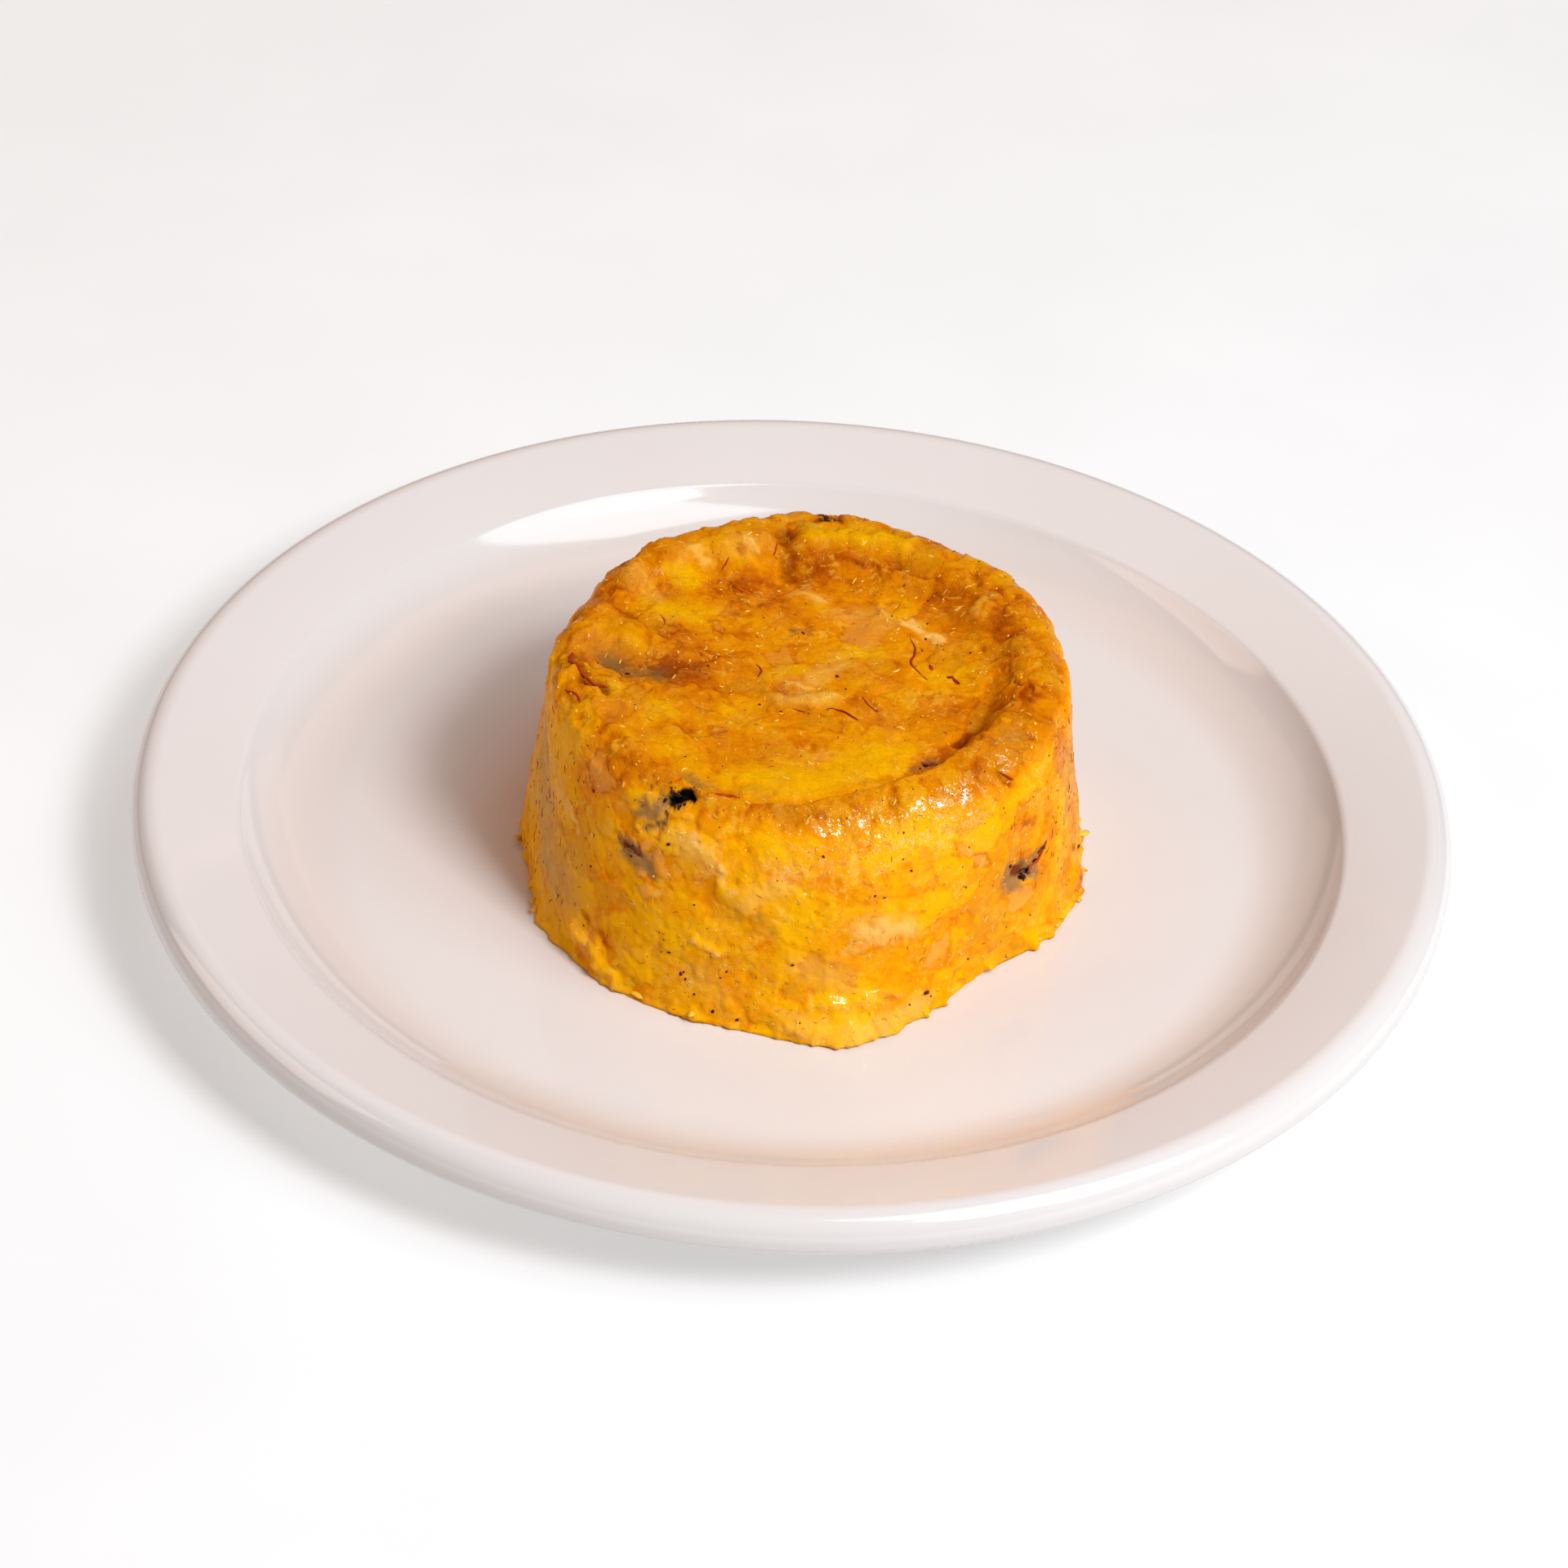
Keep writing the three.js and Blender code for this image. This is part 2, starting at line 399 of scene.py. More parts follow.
def plantain_mash():
    """Moist mashed plantain: golden pieces, each with a tone of its own, and browned, pale and wet places,
    with painted shade in its hollows and painted highlights: glint dots, pale threads and a cream sheen where
    wet.
    """
    shader = Shader("plantain_mash")
    ragged = shader.warped(2.4, 1.0)
    broad = shader.noise(13, 2.0, 0.5, 0.6)
    cloud = shader.noise(3.6, 3.0, 0.55, 1.0, shift=31)
    crumb = shader.noise(1.0, 2.0, 0.6, shift=7)
    mottle = 0.45 + cloud * 0.8 + crumb * 0.3

    def placed(name, low=0.1, high=1.0):
        """A tint where the mesh carries it, broken up by the mottle."""
        return (shader.layer(name) * mottle).step(low, high)

    yellow = shader.layer("yellow")
    # Painted shade: the mash's hollows are pushed to a deeper amber.
    painted_hollow_shade = shader.layer("painted_hollow_shade")
    crown = shader.layer("crown")
    seam = shader.layer("seam") * shader.noise(6, 1.0, shift=83).step(0.42, 0.58)
    tone = broad * 1.1 + cloud * 1.1 + crumb * 0.4 + shader.layer("piece") * 0.5 - 1.32
    tone = tone + shader.layer("brown") * 0.6 - yellow * 0.5 + crown * 0.42 + painted_hollow_shade * 0.33 + seam * 0.35
    flecks = shader.noise(2.3, 3.0, 0.6, 1.2, shift=53).step(0.55, 0.64)
    flecks = flecks * shader.noise(9, 1.0, shift=11).step(0.46, 0.6)
    pale = placed("pale", 0.15, 0.95)

    wet = shader.layer("wet")
    wisp = (shader.noise(1.1, 2.0, 0.5, 1.6, shift=71) - 0.5).magnitude()
    threads = 1 - (wisp * (26 - wet * 10)).clamped()
    # A painted sheen: on wet places the threads are painted cream, standing for highlights.
    painted_wet_sheen = (threads * 2.4 - 1.4).clamped() * wet
    clustered = shader.noise(8, 1.0, shift=61).step(0.44, 0.6)
    away, lot = shader.cells(1.3, ragged)
    dot = 1 - away.step(0.05, 0.13)
    # Glint dots: a painted highlight in the base colour, which also get a spot of coat.
    glint = dot * (1 - lot.step(0.2, 0.22)) * clustered
    away, side_lot = shader.cells(1.1, shader.stretched((1, 1, 0.22), ragged))
    strokes = (1 - away.step(0.05, 0.12)) * side_lot.step(0.7, 0.72) * shader.layer("fibrous")

    body = shader.mix(tone.step(0.0, 0.8), GOLD, HONEY)
    for share, colour in [
        (tone.step(0.6, 1.4), AMBER),
        (tone.step(1.1, 2.0), RUST),
        (placed("brown", 0.6, 1.5) * 0.5, TOAST),
        (placed("yellow") * 0.5, BUTTER),
        (flecks * (1 - yellow.clamped()) * 0.5, PEACH),
        (placed("dull", 0.45, 1.15) * 0.4, OCHRE),
        (pale * 0.8, PALE),
        (placed("grey") * 0.8, ASH),
        (placed("red") * 0.85, BLOOD),
        (placed("char", 0.2, 0.7), SOOT),
        # Pale threads: pale flake edges, painted in part as the highlight of edges catching light.
        (threads * shader.noise(5, 1.0, shift=29).step(0.52, 0.62) * 0.34, PALE),
        ((painted_wet_sheen * 0.34).clamped(), PAINTED_SHEEN_CREAM),
        (dot * lot.step(0.66, 0.68) * 0.75, PEPPER),
        (glint, PAINTED_GLINT),
    ]:
        body = shader.mix(share, body, colour)
    body = shader.mix(crown * (1 - pale * 0.5), body, CROWN_DARKENING, "MULTIPLY")
    body = shader.mix(strokes * 0.7, body, PEPPER)

    roughness = 0.17 + (crumb - 0.5) * 0.2 + (cloud - 0.5) * 0.2 - wet * 0.05
    wrinkle = shader.noise(2.0, 2.0, 0.45, 1.6, shift=19)
    height = (wrinkle * 0.26 + (wisp * 9).clamped() * 0.05) * (crown * 0.6 + 0.4)
    shine = (threads * (wet * 2.2 + clustered * 0.08) + glint).clamped()
    return shader.surface({
        "Base Color": body,
        "Roughness": roughness.clamped(),
        "IOR": 1.4,
        "Specular IOR Level": 0.02,
        "Coat Weight": shine,
        "Coat Roughness": 0.15,
        "Coat IOR": 2.0,
        "Subsurface Weight": 0.2,
        "Subsurface Radius": (1.0, 0.4, 0.08),
        "Subsurface Scale": 0.002,
        "Normal": shader.bump(height, strength=1.0, depth=1.0),
    })


def strewn_finish(name, light, dark, roughness, coat, subsurface=0.0):
    """Small strewn things: each has its own shade between two colours, and a finer mottle on it."""
    shader = Shader(name)
    own = shader.layer("shade")
    mottle = shader.noise(0.5, 2.0, 0.6)
    body = shader.mix((own * 0.8 + mottle * 0.4 - 0.1).clamped(), dark, light)
    return shader.surface({
        "Base Color": body,
        "Roughness": (roughness + (mottle - 0.5) * 0.2).clamped(),
        "Subsurface Weight": subsurface,
        "Subsurface Radius": (1.0, 0.4, 0.1),
        "Subsurface Scale": 0.0015,
        "Specular IOR Level": 0.1,
        "Coat Weight": coat,
        "Coat Roughness": 0.08,
        "Normal": shader.bump(shader.noise(0.3, 2.0, 0.6), strength=0.4, depth=0.05),
    })


def pale_floor():
    shader = Shader("pale_floor")
    mottle = shader.noise(60, 3.0)
    body = shader.mix(mottle, (0.46, 0.46, 0.46, 1), (0.50, 0.50, 0.50, 1))
    return shader.surface({
        "Base Color": body,
        "Roughness": 0.75,
        "Specular IOR Level": 0.1,
        "Emission Color": body,
        "Emission Strength": 0.9,
    })


# ======================================================================== plate


def plate_profile():
    """The plate's outline (radius, height), from the middle of its underside to the middle of its floor."""
    fillet = (WELL_FLOOR_RADIUS, PLATE_FLOOR + WELL_FILLET_RADIUS)
    wall = arc(fillet, WELL_FILLET_RADIUS, WELL_WALL_SLOPE - 90, -90)
    slope = math.radians(WELL_WALL_SLOPE)
    corner_radius = wall[0][0] + RIM_CORNER_RADIUS * math.sin(slope)
    corner = (corner_radius, wall[0][1] - RIM_CORNER_RADIUS * math.cos(slope))
    rim_corner = arc(corner, RIM_CORNER_RADIUS, 90 + RIM_SLOPE, 90 + WELL_WALL_SLOPE)

    tilt = math.radians(RIM_SLOPE)
    lip_radius = PLATE_RADIUS - LIP_TOP_RADIUS
    rim_end = lip_radius - LIP_TOP_RADIUS * math.sin(tilt)
    rim_end_height = rim_corner[0][1] + (rim_end - rim_corner[0][0]) * math.tan(tilt)
    lip_height = rim_end_height - LIP_TOP_RADIUS * math.cos(tilt)
    lip_top = arc((lip_radius, lip_height), LIP_TOP_RADIUS, 0, 90 + RIM_SLOPE, stride=5)

    heel_height = lip_height + LIP_TOP_RADIUS - LIP_THICKNESS
    heel = (PLATE_RADIUS - LIP_BOTTOM_RADIUS, heel_height + LIP_BOTTOM_RADIUS)
    lip_bottom = arc(heel, LIP_BOTTOM_RADIUS, -90, 0, stride=10)
    rim_above = rim_end_height - (rim_end - RIM_UNDERSIDE_RADIUS) * math.tan(tilt)
    underside = arc(fillet, WELL_FILLET_RADIUS + BASE_THICKNESS, -90, UNDERSIDE_SLOPE - 90)

    foot_inside = arc((FOOT_INNER_RADIUS, FOOT_BEVEL), FOOT_BEVEL, 180, 270, stride=18)
    foot_outside = arc((FOOT_OUTER_RADIUS, FOOT_BEVEL), FOOT_BEVEL, 270, 360, stride=18)
    return [
        (0, FOOT_HEIGHT),
        (FOOT_INNER_RADIUS - FOOT_FLARE - FOOT_BEVEL, FOOT_HEIGHT),
        *foot_inside,
        *foot_outside,
        (FOOT_OUTER_RADIUS + FOOT_FLARE + FOOT_BEVEL, FOOT_HEIGHT),
        *underside,
        (RIM_UNDERSIDE_RADIUS, rim_above - RIM_THICKNESS),
        (PLATE_RADIUS - LIP_INSET, heel_height),
        *lip_bottom,
        *lip_top,
        *rim_corner,
        *wall[1:],
        (0, PLATE_FLOOR),
    ]


def plate():
    """The outline turned round the axis, as on a potter's wheel."""
    profile = [(radius, 0, height) for radius, height in plate_profile()]
    edges = [(i, i + 1) for i in range(len(profile) - 1)]
    piece = new_piece("plate_turned", profile, edges=edges)
    make_active(piece)
    bpy.ops.object.mode_set(mode="EDIT")
    bpy.ops.mesh.select_all(action="SELECT")
    bpy.ops.mesh.spin(steps=PLATE_SEGMENTS, angle=2 * math.pi, center=(0, 0, 0), axis=(0, 0, 1))
    bpy.ops.mesh.select_all(action="SELECT")
    bpy.ops.mesh.remove_doubles(threshold=MM / 100)
    bpy.ops.mesh.normals_make_consistent(inside=False)
    bpy.ops.object.mode_set(mode="OBJECT")
    bpy.ops.object.shade_smooth_by_angle(angle=math.radians(SHARP_ANGLE))
    finish_piece(piece, plate_glaze(), "plate")


# ======================================================================== the drum's form


def swell(bearing, at, spread):
    """One at the given bearing, fading to nothing away from it, the short way round the circle."""
    apart = (bearing - at + 180) % 360 - 180
    return np.exp(-((apart / spread) ** 2))


def seen_from_above(radius, bearing):
    """x and y of a place given by its radius and bearing."""
    return radius * np.cos(np.radians(bearing)), radius * np.sin(np.radians(bearing))


def top_sink(radius, bearing):
    """How far the top has sunk below the drum's crown at a place on it."""
    edge = DISH_RADIUS + sum(out * swell(bearing, at, spread) for at, spread, out in DISH_SWELLS)
    back, wide, more = DISH_BACK_BANK
    bank = smoothstep(edge - radius, 0, DISH_BANK + more * swell(bearing, back, wide))
    opened = 0
    for at, spread, share, inner, outer in OPEN_BANKS:
        opened = opened + share * smoothstep(radius, inner, outer) * swell(bearing, at, spread)
    x, y = seen_from_above(radius, bearing)
    lumps = sum(rise * np.exp(-((x - lx) ** 2 + (y - ly) ** 2) / wide**2) for lx, ly, wide, rise in TOP_LUMPS)
    return DISH_DEPTH * bank * (1 - opened) - lumps


def drum_place(radius, height, bearing):
    """A place of the round drum, moved as the real one leaves the round. Millimetres from its own axis."""
    climbed = np.minimum(height / WALL_TOP, 1)
    outer = np.minimum(radius / DRUM_SHOULDER_RADIUS, 1)
    out = 0
    for at, spread, foot, shoulder in WALL_SWELLS:
        out = out + (foot + (shoulder - foot) * climbed) * swell(bearing, at, spread)
    at, spread, skirt, low, high = FOOT_SKIRT
    out = out + skirt * swell(bearing, at, spread) * (1 - smoothstep(height, low, high))
    swollen = radius + out * outer

    at, spread, depth, reach = FRONT_SLUMP
    diagonal = math.sqrt(0.5)
    middle_radius = CROWN_RADIUS + SHOULDER_ROUNDING * diagonal
    middle_height = WALL_TOP + SHOULDER_ROUNDING * diagonal
    gap = np.hypot(radius - middle_radius, height - middle_height)
    slump = depth * diagonal * swell(bearing, at, spread) * np.exp(-((gap / reach) ** 2))
    z = height - top_sink(swollen, bearing) * smoothstep(height, WALL_TOP, DRUM_HEIGHT) - slump
    x, y = seen_from_above(swollen - slump, bearing)
    return np.stack([x, y, z], -1)


def on_top(x, y):
    """A place on the drum's top, in millimetres from its axis."""
    return drum_place(math.hypot(x, y), DRUM_HEIGHT, math.degrees(math.atan2(y, x)))


def on_wall(bearing, height):
    """A place on the drum's wall or rounded shoulder."""
    slope = (DRUM_FOOT_RADIUS - DRUM_SHOULDER_RADIUS) / WALL_TOP
    if height <= WALL_TOP:
        return drum_place(DRUM_FOOT_RADIUS - slope * height, height, bearing)
    above = min(height - WALL_TOP, SHOULDER_ROUNDING)
    radius = CROWN_RADIUS + math.sqrt(SHOULDER_ROUNDING**2 - above**2)
    return drum_place(radius, height, bearing)


# ======================================================================== marks on the mash

# Each mark: what its path lies on, the path, its half width, how far it stands out, and its tints. A place
# on the top is x and y from the drum's axis, and one on the wall is a bearing and a height.
MARKS = [
    # The dish's floor and its crease.
    (on_top, [(-8, -32), (3, -30), (12, -26)], 6.0, 0.3, {"yellow": 0.9}),
    (on_top, [(-30, -22), (-24, -24)], 5.0, 0.0, {"yellow": 0.35}),
    (on_top, [(19, -27), (27, -18.5), (33, -7)], 2.0, -0.1, {"brown": 0.8}),
    (on_top, [(26.5, -18), (29.5, -15)], 1.7, -0.2, {"brown": 1.2, "red": 0.6}),
    (on_top, [(18.5, -25.5), (22, -23.5)], 1.7, -0.2, {"grey": 0.8, "brown": 1.0}),
    (on_top, [(-14, -38), (-4, -38), (8, -35)], 1.3, -0.2, {"brown": 0.6}),
    (on_top, [(-17, 20), (-10, 24), (-3, 27)], 5.0, -0.2, {"brown": 0.7}),
    (on_top, [(-24, 6), (-15, 3), (-12, 10)], 6.0, 0.0, {"brown": 0.55}),
    (on_top, [(-4, 29), (6, 29), (18, 28), (25, 22)], 4.0, -0.2, {"brown": 0.85}),
    (on_top, [(16, -12), (24, -8)], 5.0, 0.0, {"brown": 0.5}),
    (on_top, [(-33, -13), (-27, -16)], 5.5, 0.0, {"yellow": 0.5}),
    (on_top, [(1, -2), (5, 3)], 3.6, 0.2, {"pale": 0.55}),
    (on_top, [(-6, -1), (-3, 1)], 2.6, 0.3, {"yellow": 0.9}),
    (on_top, [(-4, -9), (3, -8)], 3.2, 0.3, {"pale": 0.6}),
    (on_top, [(8, 6), (12, 8)], 3.5, 0.2, {"yellow": 0.6}),
    (on_top, [(-4, 24.5), (2, 22.5)], 1.9, 0.2, {"pale": 0.65}),
    (on_top, [(-3, -3.6), (-1, -4.6)], 1.3, 0.2, {"pale": 0.8}),
    (on_top, [(1, -8.6), (4, -7.6)], 1.2, 0.2, {"pale": 0.9}),
    (on_top, [(5, 18), (12, 19)], 4.5, 0.1, {"pale": 0.45}),
    (on_top, [(17, 16.5), (20, 14.5), (22, 12.5)], 1.45, 0.3, {"pale": 1.25, "wet": 0.6}),
    (on_top, [(-3, 12), (-1, 12.5)], 1.3, 0.1, {"grey": 0.9}),
    (on_top, [(22, 0), (27, 3)], 4.0, 0.0, {"yellow": 0.4}),
    # The pit at the front left of the top, its halo, its tail and the crack below it.
    (on_wall, [(-119.5, 40.4), (-117.5, 42.8)], 1.35, -2.4, {"char": 1.4, "brown": 0.5}),
    (on_wall, [(-121, 39.5), (-125, 36.5)], 1.8, -0.4, {"grey": 1.1}),
    (on_top, [(-20.5, -34.5), (-18, -35)], 2.6, -0.3, {"grey": 0.75}),
    (on_top, [(-17.5, -37.5), (-12, -36.5)], 1.3, -0.5, {"brown": 0.9, "red": 0.35}),
    (on_wall, [(-119, 39), (-120, 36.5), (-124, 33)], 1.0, -0.8, {"char": 0.4, "grey": 0.9}),
    # The lumpy left side of the top.
    (on_top, [(-35, -2), (-28, -4)], 4.4, -1.2, {"grey": 0.85, "brown": 0.8}),
    (on_top, [(-27, -1), (-21, -3)], 4.5, -0.4, {"brown": 1.0}),
    (on_top, [(-38, 6), (-33, 5)], 3.8, 1.0, {"yellow": 0.6}),
    (on_top, [(-43, -3), (-39.5, -11), (-36, -12.5)], 1.7, -1.1, {"red": 0.8, "brown": 0.5}),
    (on_wall, [(-168, 42.5), (-166, 42)], 2.6, 1.0, {"yellow": 0.4}),
    (on_wall, [(-162, 42), (-158, 43)], 1.1, -0.5, {"red": 0.4, "brown": 0.5}),
    (on_wall, [(-152, 42.5), (-148, 42)], 3.8, 0.8, {"yellow": 0.4}),
    (on_wall, [(-140, 41), (-136, 37), (-143, 35)], 4.5, 0.0, {"brown": 0.75, "red": 0.12}),
    (on_top, [(-25, 29), (-22, 31)], 4.0, 0.5, {"pale": 0.4}),
    (on_top, [(-33, 22), (-30, 20)], 3.6, 0.5, {"pale": 0.5}),
    (on_top, [(-26, 26), (-23, 25)], 2.6, 0.6, {"yellow": 0.9}),
    (on_top, [(-22, 15), (-28, 14)], 3.6, 0.3, {"yellow": 0.55}),
    (on_top, [(-38, 15), (-40, 18)], 3.0, -0.8, {"brown": 0.6}),
    # The back of the top.
    (on_top, [(-16, 33), (-10, 33)], 3.6, 0.9, {"pale": 0.4}),
    (on_top, [(-13, 34), (-10, 32)], 1.5, 0.4, {"pale": 0.8}),
    (on_top, [(-23, 30.5), (-21, 29)], 1.5, 0.4, {"pale": 0.7}),
    (on_top, [(-6, 37), (-5.2, 33), (-4, 29)], 2.2, -1.9, {"brown": 1.5}),
    (on_top, [(-13, 27), (-7, 27)], 2.6, -0.9, {"brown": 1.2}),
    (on_top, [(-1, 36), (8, 36.5), (16, 35.5)], 2.5, 1.0, {"yellow": 1.0}),
    (on_top, [(0.5, 41.5), (3, 42)], 1.8, -0.4, {"char": 0.55, "brown": 0.9}),
    (on_top, [(28.5, 30), (28.8, 24.5)], 0.9, -1.0, {"brown": 0.6}),
    (on_top, [(33.8, 15), (34.5, 11)], 2.3, -0.4, {"brown": 0.8}),
    (on_top, [(31, 21), (29, 17)], 2.0, 0.6, {"pale": 0.5}),
    (on_top, [(37, 4), (38, -8)], 4.0, 0.0, {"brown": 0.45}),
    # The wet roll in front of the dish. Its wetness also brings a painted cream sheen there.
    (on_wall, [(-84, 38.5), (-68, 39.5), (-52, 41)], 3.4, 0.0, {"wet": 0.75}),
    (on_wall, [(-92, 33.5), (-78, 35.5), (-62, 37.5), (-50, 39.5)], 2.9, 0.0, {"wet": 1.1}),
    (on_top, [(33, -26), (37, -20)], 3.0, 0.0, {"wet": 1.0}),
    (on_wall, [(-98, 38), (-90, 37)], 4.0, 0.3, {"yellow": 0.6}),
    (on_wall, [(-70, 38), (-58, 37)], 5.0, 0.2, {"yellow": 0.35}),
    (on_wall, [(-40, 42), (-38, 40)], 1.2, -0.3, {"red": 0.7}),
    # The front of the wall.
    (on_wall, [(-115, 34), (-108, 31)], 3.6, 0.5, {"pale": 0.55}),
    (on_wall, [(-113, 35.5), (-111, 34)], 1.5, 0.3, {"pale": 0.9}),
    (on_wall, [(-108, 33), (-106, 31)], 1.3, 0.3, {"pale": 0.9}),
    (on_wall, [(-105, 29.5), (-104, 27.5)], 1.1, 0.2, {"pale": 0.8}),
    (on_wall, [(-100, 26), (-93, 30)], 3.6, 0.4, {"pale": 0.5}),
    (on_wall, [(-128, 28.6), (-122, 26.2)], 2.2, -0.3, {"grey": 1.35}),
    (on_wall, [(-129, 28.8), (-125, 28)], 1.0, -0.3, {"red": 1.3, "char": 0.3}),
    (on_wall, [(-107, 23), (-96, 20)], 3.0, -0.4, {"brown": 0.6}),
    (on_wall, [(-84, 29), (-76, 27)], 3.2, 0.0, {"brown": 0.65}),
    (on_wall, [(-53, 16), (-50, 15)], 2.4, -0.2, {"brown": 0.7}),
    (on_wall, [(-60, 23), (-66, 20)], 3.6, 0.3, {"yellow": 0.4}),
    (on_wall, [(-76, 21), (-68, 20)], 3.0, 0.4, {"pale": 0.8}),
    (on_wall, [(-88, 14), (-80, 12)], 5.0, 0.3, {"pale": 0.4}),
    (on_wall, [(-92, 21), (-88, 24)], 3.4, 0.2, {"yellow": 0.8}),
    (on_wall, [(-110, 9), (-104, 6)], 4.0, 0.3, {"pale": 0.35}),
    (on_wall, [(-118, 16), (-112, 12)], 4.2, 0.2, {"yellow": 0.5}),
    # A ridge where a glint lies: wet for a coat, and its pale tint is in part a painted highlight.
    (on_wall, [(-110, 15.6), (-106, 14.6)], 0.8, 0.7, {"wet": 1.0, "pale": 0.7}),
    (on_wall, [(-62, 4.6)], 0.8, 0.6, {"brown": 1.4}),
    (on_wall, [(-92, 3), (-76, 2.5), (-62, 3)], 2.8, 0.0, {"pale": 0.45}),
    # The left and right faces.
    # On the left face, turned from the key light, the pale and grey tints paint in part a greyish sheen and
    # shade.
    (on_wall, [(-172, 39), (-168, 33), (-151, 28), (-143, 24)], 0.8, 0.5, {"pale": 0.9}),
    (on_wall, [(-170, 24), (-158, 18), (-148, 12)], 11.0, -0.2, {"pale": 0.55, "grey": 0.5, "fibrous": 1.3}),
    (on_wall, [(-172, 31), (-163, 26), (-158, 21)], 4.2, -0.2, {"pale": 0.9, "grey": 0.6}),
    (on_wall, [(-167, 17), (-157, 14), (-150, 9)], 3.4, -0.2, {"pale": 0.9, "grey": 0.55}),
    (on_wall, [(-178, 22), (-174, 12)], 3.2, 0.2, {"pale": 0.8, "grey": 0.4}),
    (on_wall, [(-153, 30), (-149, 26)], 2.6, 0.2, {"pale": 0.6, "grey": 0.3}),
    (on_wall, [(172, 30), (178, 18)], 12.0, 0.0, {"pale": 0.4, "fibrous": 1.0}),
    (on_wall, [(-140, 17), (-137, 13)], 3.5, 0.2, {"yellow": 0.5}),
    # On the right face the brown tints are in part painted shade, which makes the face nearer the lights
    # darker.
    (on_wall, [(-14, 32), (-8, 20), (2, 26)], 9.0, 0.0, {"pale": 0.45, "fibrous": 1.0, "brown": 0.9}),
    (on_wall, [(-34, 34), (-28, 22), (-24, 8)], 10.0, 0.0, {"brown": 0.5}),
    (on_wall, [(-56, 30), (-50, 12)], 9.0, 0.0, {"brown": 0.36}),
    (on_wall, [(-96, 42), (-72, 42), (-46, 42.5)], 4.0, 0.0, {"brown": 0.15}),
    (on_wall, [(-19, 27), (-20, 19)], 1.8, 0.3, {"yellow": 0.9}),
    (on_wall, [(-38, 19), (-31, 18)], 2.8, -0.6, {"grey": 1.4}),
    (on_wall, [(-37, 20), (-34, 19)], 1.2, -0.3, {"red": 1.2}),
    (on_wall, [(-34, 17), (-30, 18.5), (-26, 21)], 0.8, -0.4, {"char": 1.1}),
    (on_wall, [(-11, 5), (-9, 3)], 2.4, 1.1, {"brown": 0.9}),
    (on_wall, [(-6, 9), (-5, 8)], 1.6, 0.9, {"brown": 0.6}),
    # The foot: ledges, hollows and little spikes.
    (on_wall, [(-139, 6), (-132, 3.5), (-125, 1.5)], 1.4, 1.1, {"yellow": 0.4, "wet": 0.3}),
    (on_wall, [(-137, 9), (-129, 6.5)], 1.3, -0.8, {"brown": 0.7}),
    (on_wall, [(-86, 6.5), (-79, 7.5), (-69, 7)], 1.0, 0.9, {"wet": 0.9}),
    (on_wall, [(-87, 4), (-78, 4.6), (-68, 4.2)], 1.0, -0.5, {"brown": 0.3}),
    (on_wall, [(-88, 2), (-80, 1.5), (-70, 1.2)], 1.2, 0.9, {"wet": 0.9}),
    (on_wall, [(-30, 1.2)], 1.0, 1.3, {}),
    (on_wall, [(-42, 1.0)], 0.9, 1.2, {}),
    (on_wall, [(-51, 1.6)], 0.9, 1.3, {}),
    (on_wall, [(-57, 0.9)], 0.9, 1.4, {}),
    (on_wall, [(-62, 1.0)], 0.8, 1.2, {}),
]

TINTS = ["brown", "yellow", "pale", "grey", "red", "char", "wet", "fibrous"]
HIDDEN_SIDE = (25, 165)
HIDDEN_HEIGHTS = (2, 40)
HIDDEN_MARKS = 46
HIDDEN_KINDS = [("brown", 0.7), ("yellow", 0.8), ("pale", 0.8), ("brown", 0.9), ("pale", 0.6), ("grey", 0.8)]


def hidden_marks():
    """The side turned away in the photograph, finished like what shows: patches strewn by a seeded draw."""
    draw = random.Random(41)
    marks = []
    for index in range(HIDDEN_MARKS):
        bearing = draw.uniform(*HIDDEN_SIDE)
        height = draw.uniform(*HIDDEN_HEIGHTS)
        kind, strength = HIDDEN_KINDS[index % len(HIDDEN_KINDS)]
        width = draw.uniform(1.0, 1.9) if kind == "grey" else draw.uniform(1.8, 4.8)
        end_bearing = bearing + draw.uniform(-7, 7)
        end_height = max(height + draw.uniform(-4, 4), 1)
        path = [(bearing, height), (end_bearing, end_height)]
        marks.append((on_wall, path, width, draw.uniform(-0.5, 0.6), {kind: strength}))
    return marks


def distance_to_path(places, path):
    """How far each place is from a path of one or more points."""
    if len(path) == 1:
        return np.linalg.norm(places - path[0], axis=1)
    nearest = np.full(len(places), np.inf)
    for start, end in zip(path, path[1:]):
        along = end - start
        share = np.clip((places - start) @ along / (along @ along), 0, 1)
        gap = np.linalg.norm(places - start - share[:, None] * along, axis=1)
        nearest = np.minimum(nearest, gap)
    return nearest


# ======================================================================== relief

PIECE_COUNT = 800
PIECE_RISE = 0.17
PIECE_LEAN = 0.07
PIECE_BATCH = 6000
CREASE_WIDTH = 0.8
CREASE_DEPTH = 0.13
PALE_PIECES = (0.90, 0.94)
DULL_PIECES_START = (0.72, 0.74)
DULL_PIECES_END = (0.86, 0.88)

# How far each kind of feature stands out of the mash or lies in it.
CRUMB_HEIGHT = 0.08
THREAD_HEIGHT = 0.06
FIBRE_HEIGHT = 0.10
SMEAR_HEIGHT = 0.16
PIT_DEPTH = 0.4
RAGGED_FOOT = 0.9
FOOT_SPREAD = 0.5
RIPPLE_HEIGHT = 0.15
WETTEST = 1.25


def field(places, size, seed, octaves=2, stretch=(1, 1, 1)):
    """Soft noise between about -1 and 1, with features of the given size in millimetres."""
    shift = np.array([17.3, -9.1, 4.7]) * (seed + 1)
    scaled = places * np.array(stretch) / size + shift
    return np.array([noise.fractal(place, 1.0, 2.0, octaves) for place in scaled.tolist()])


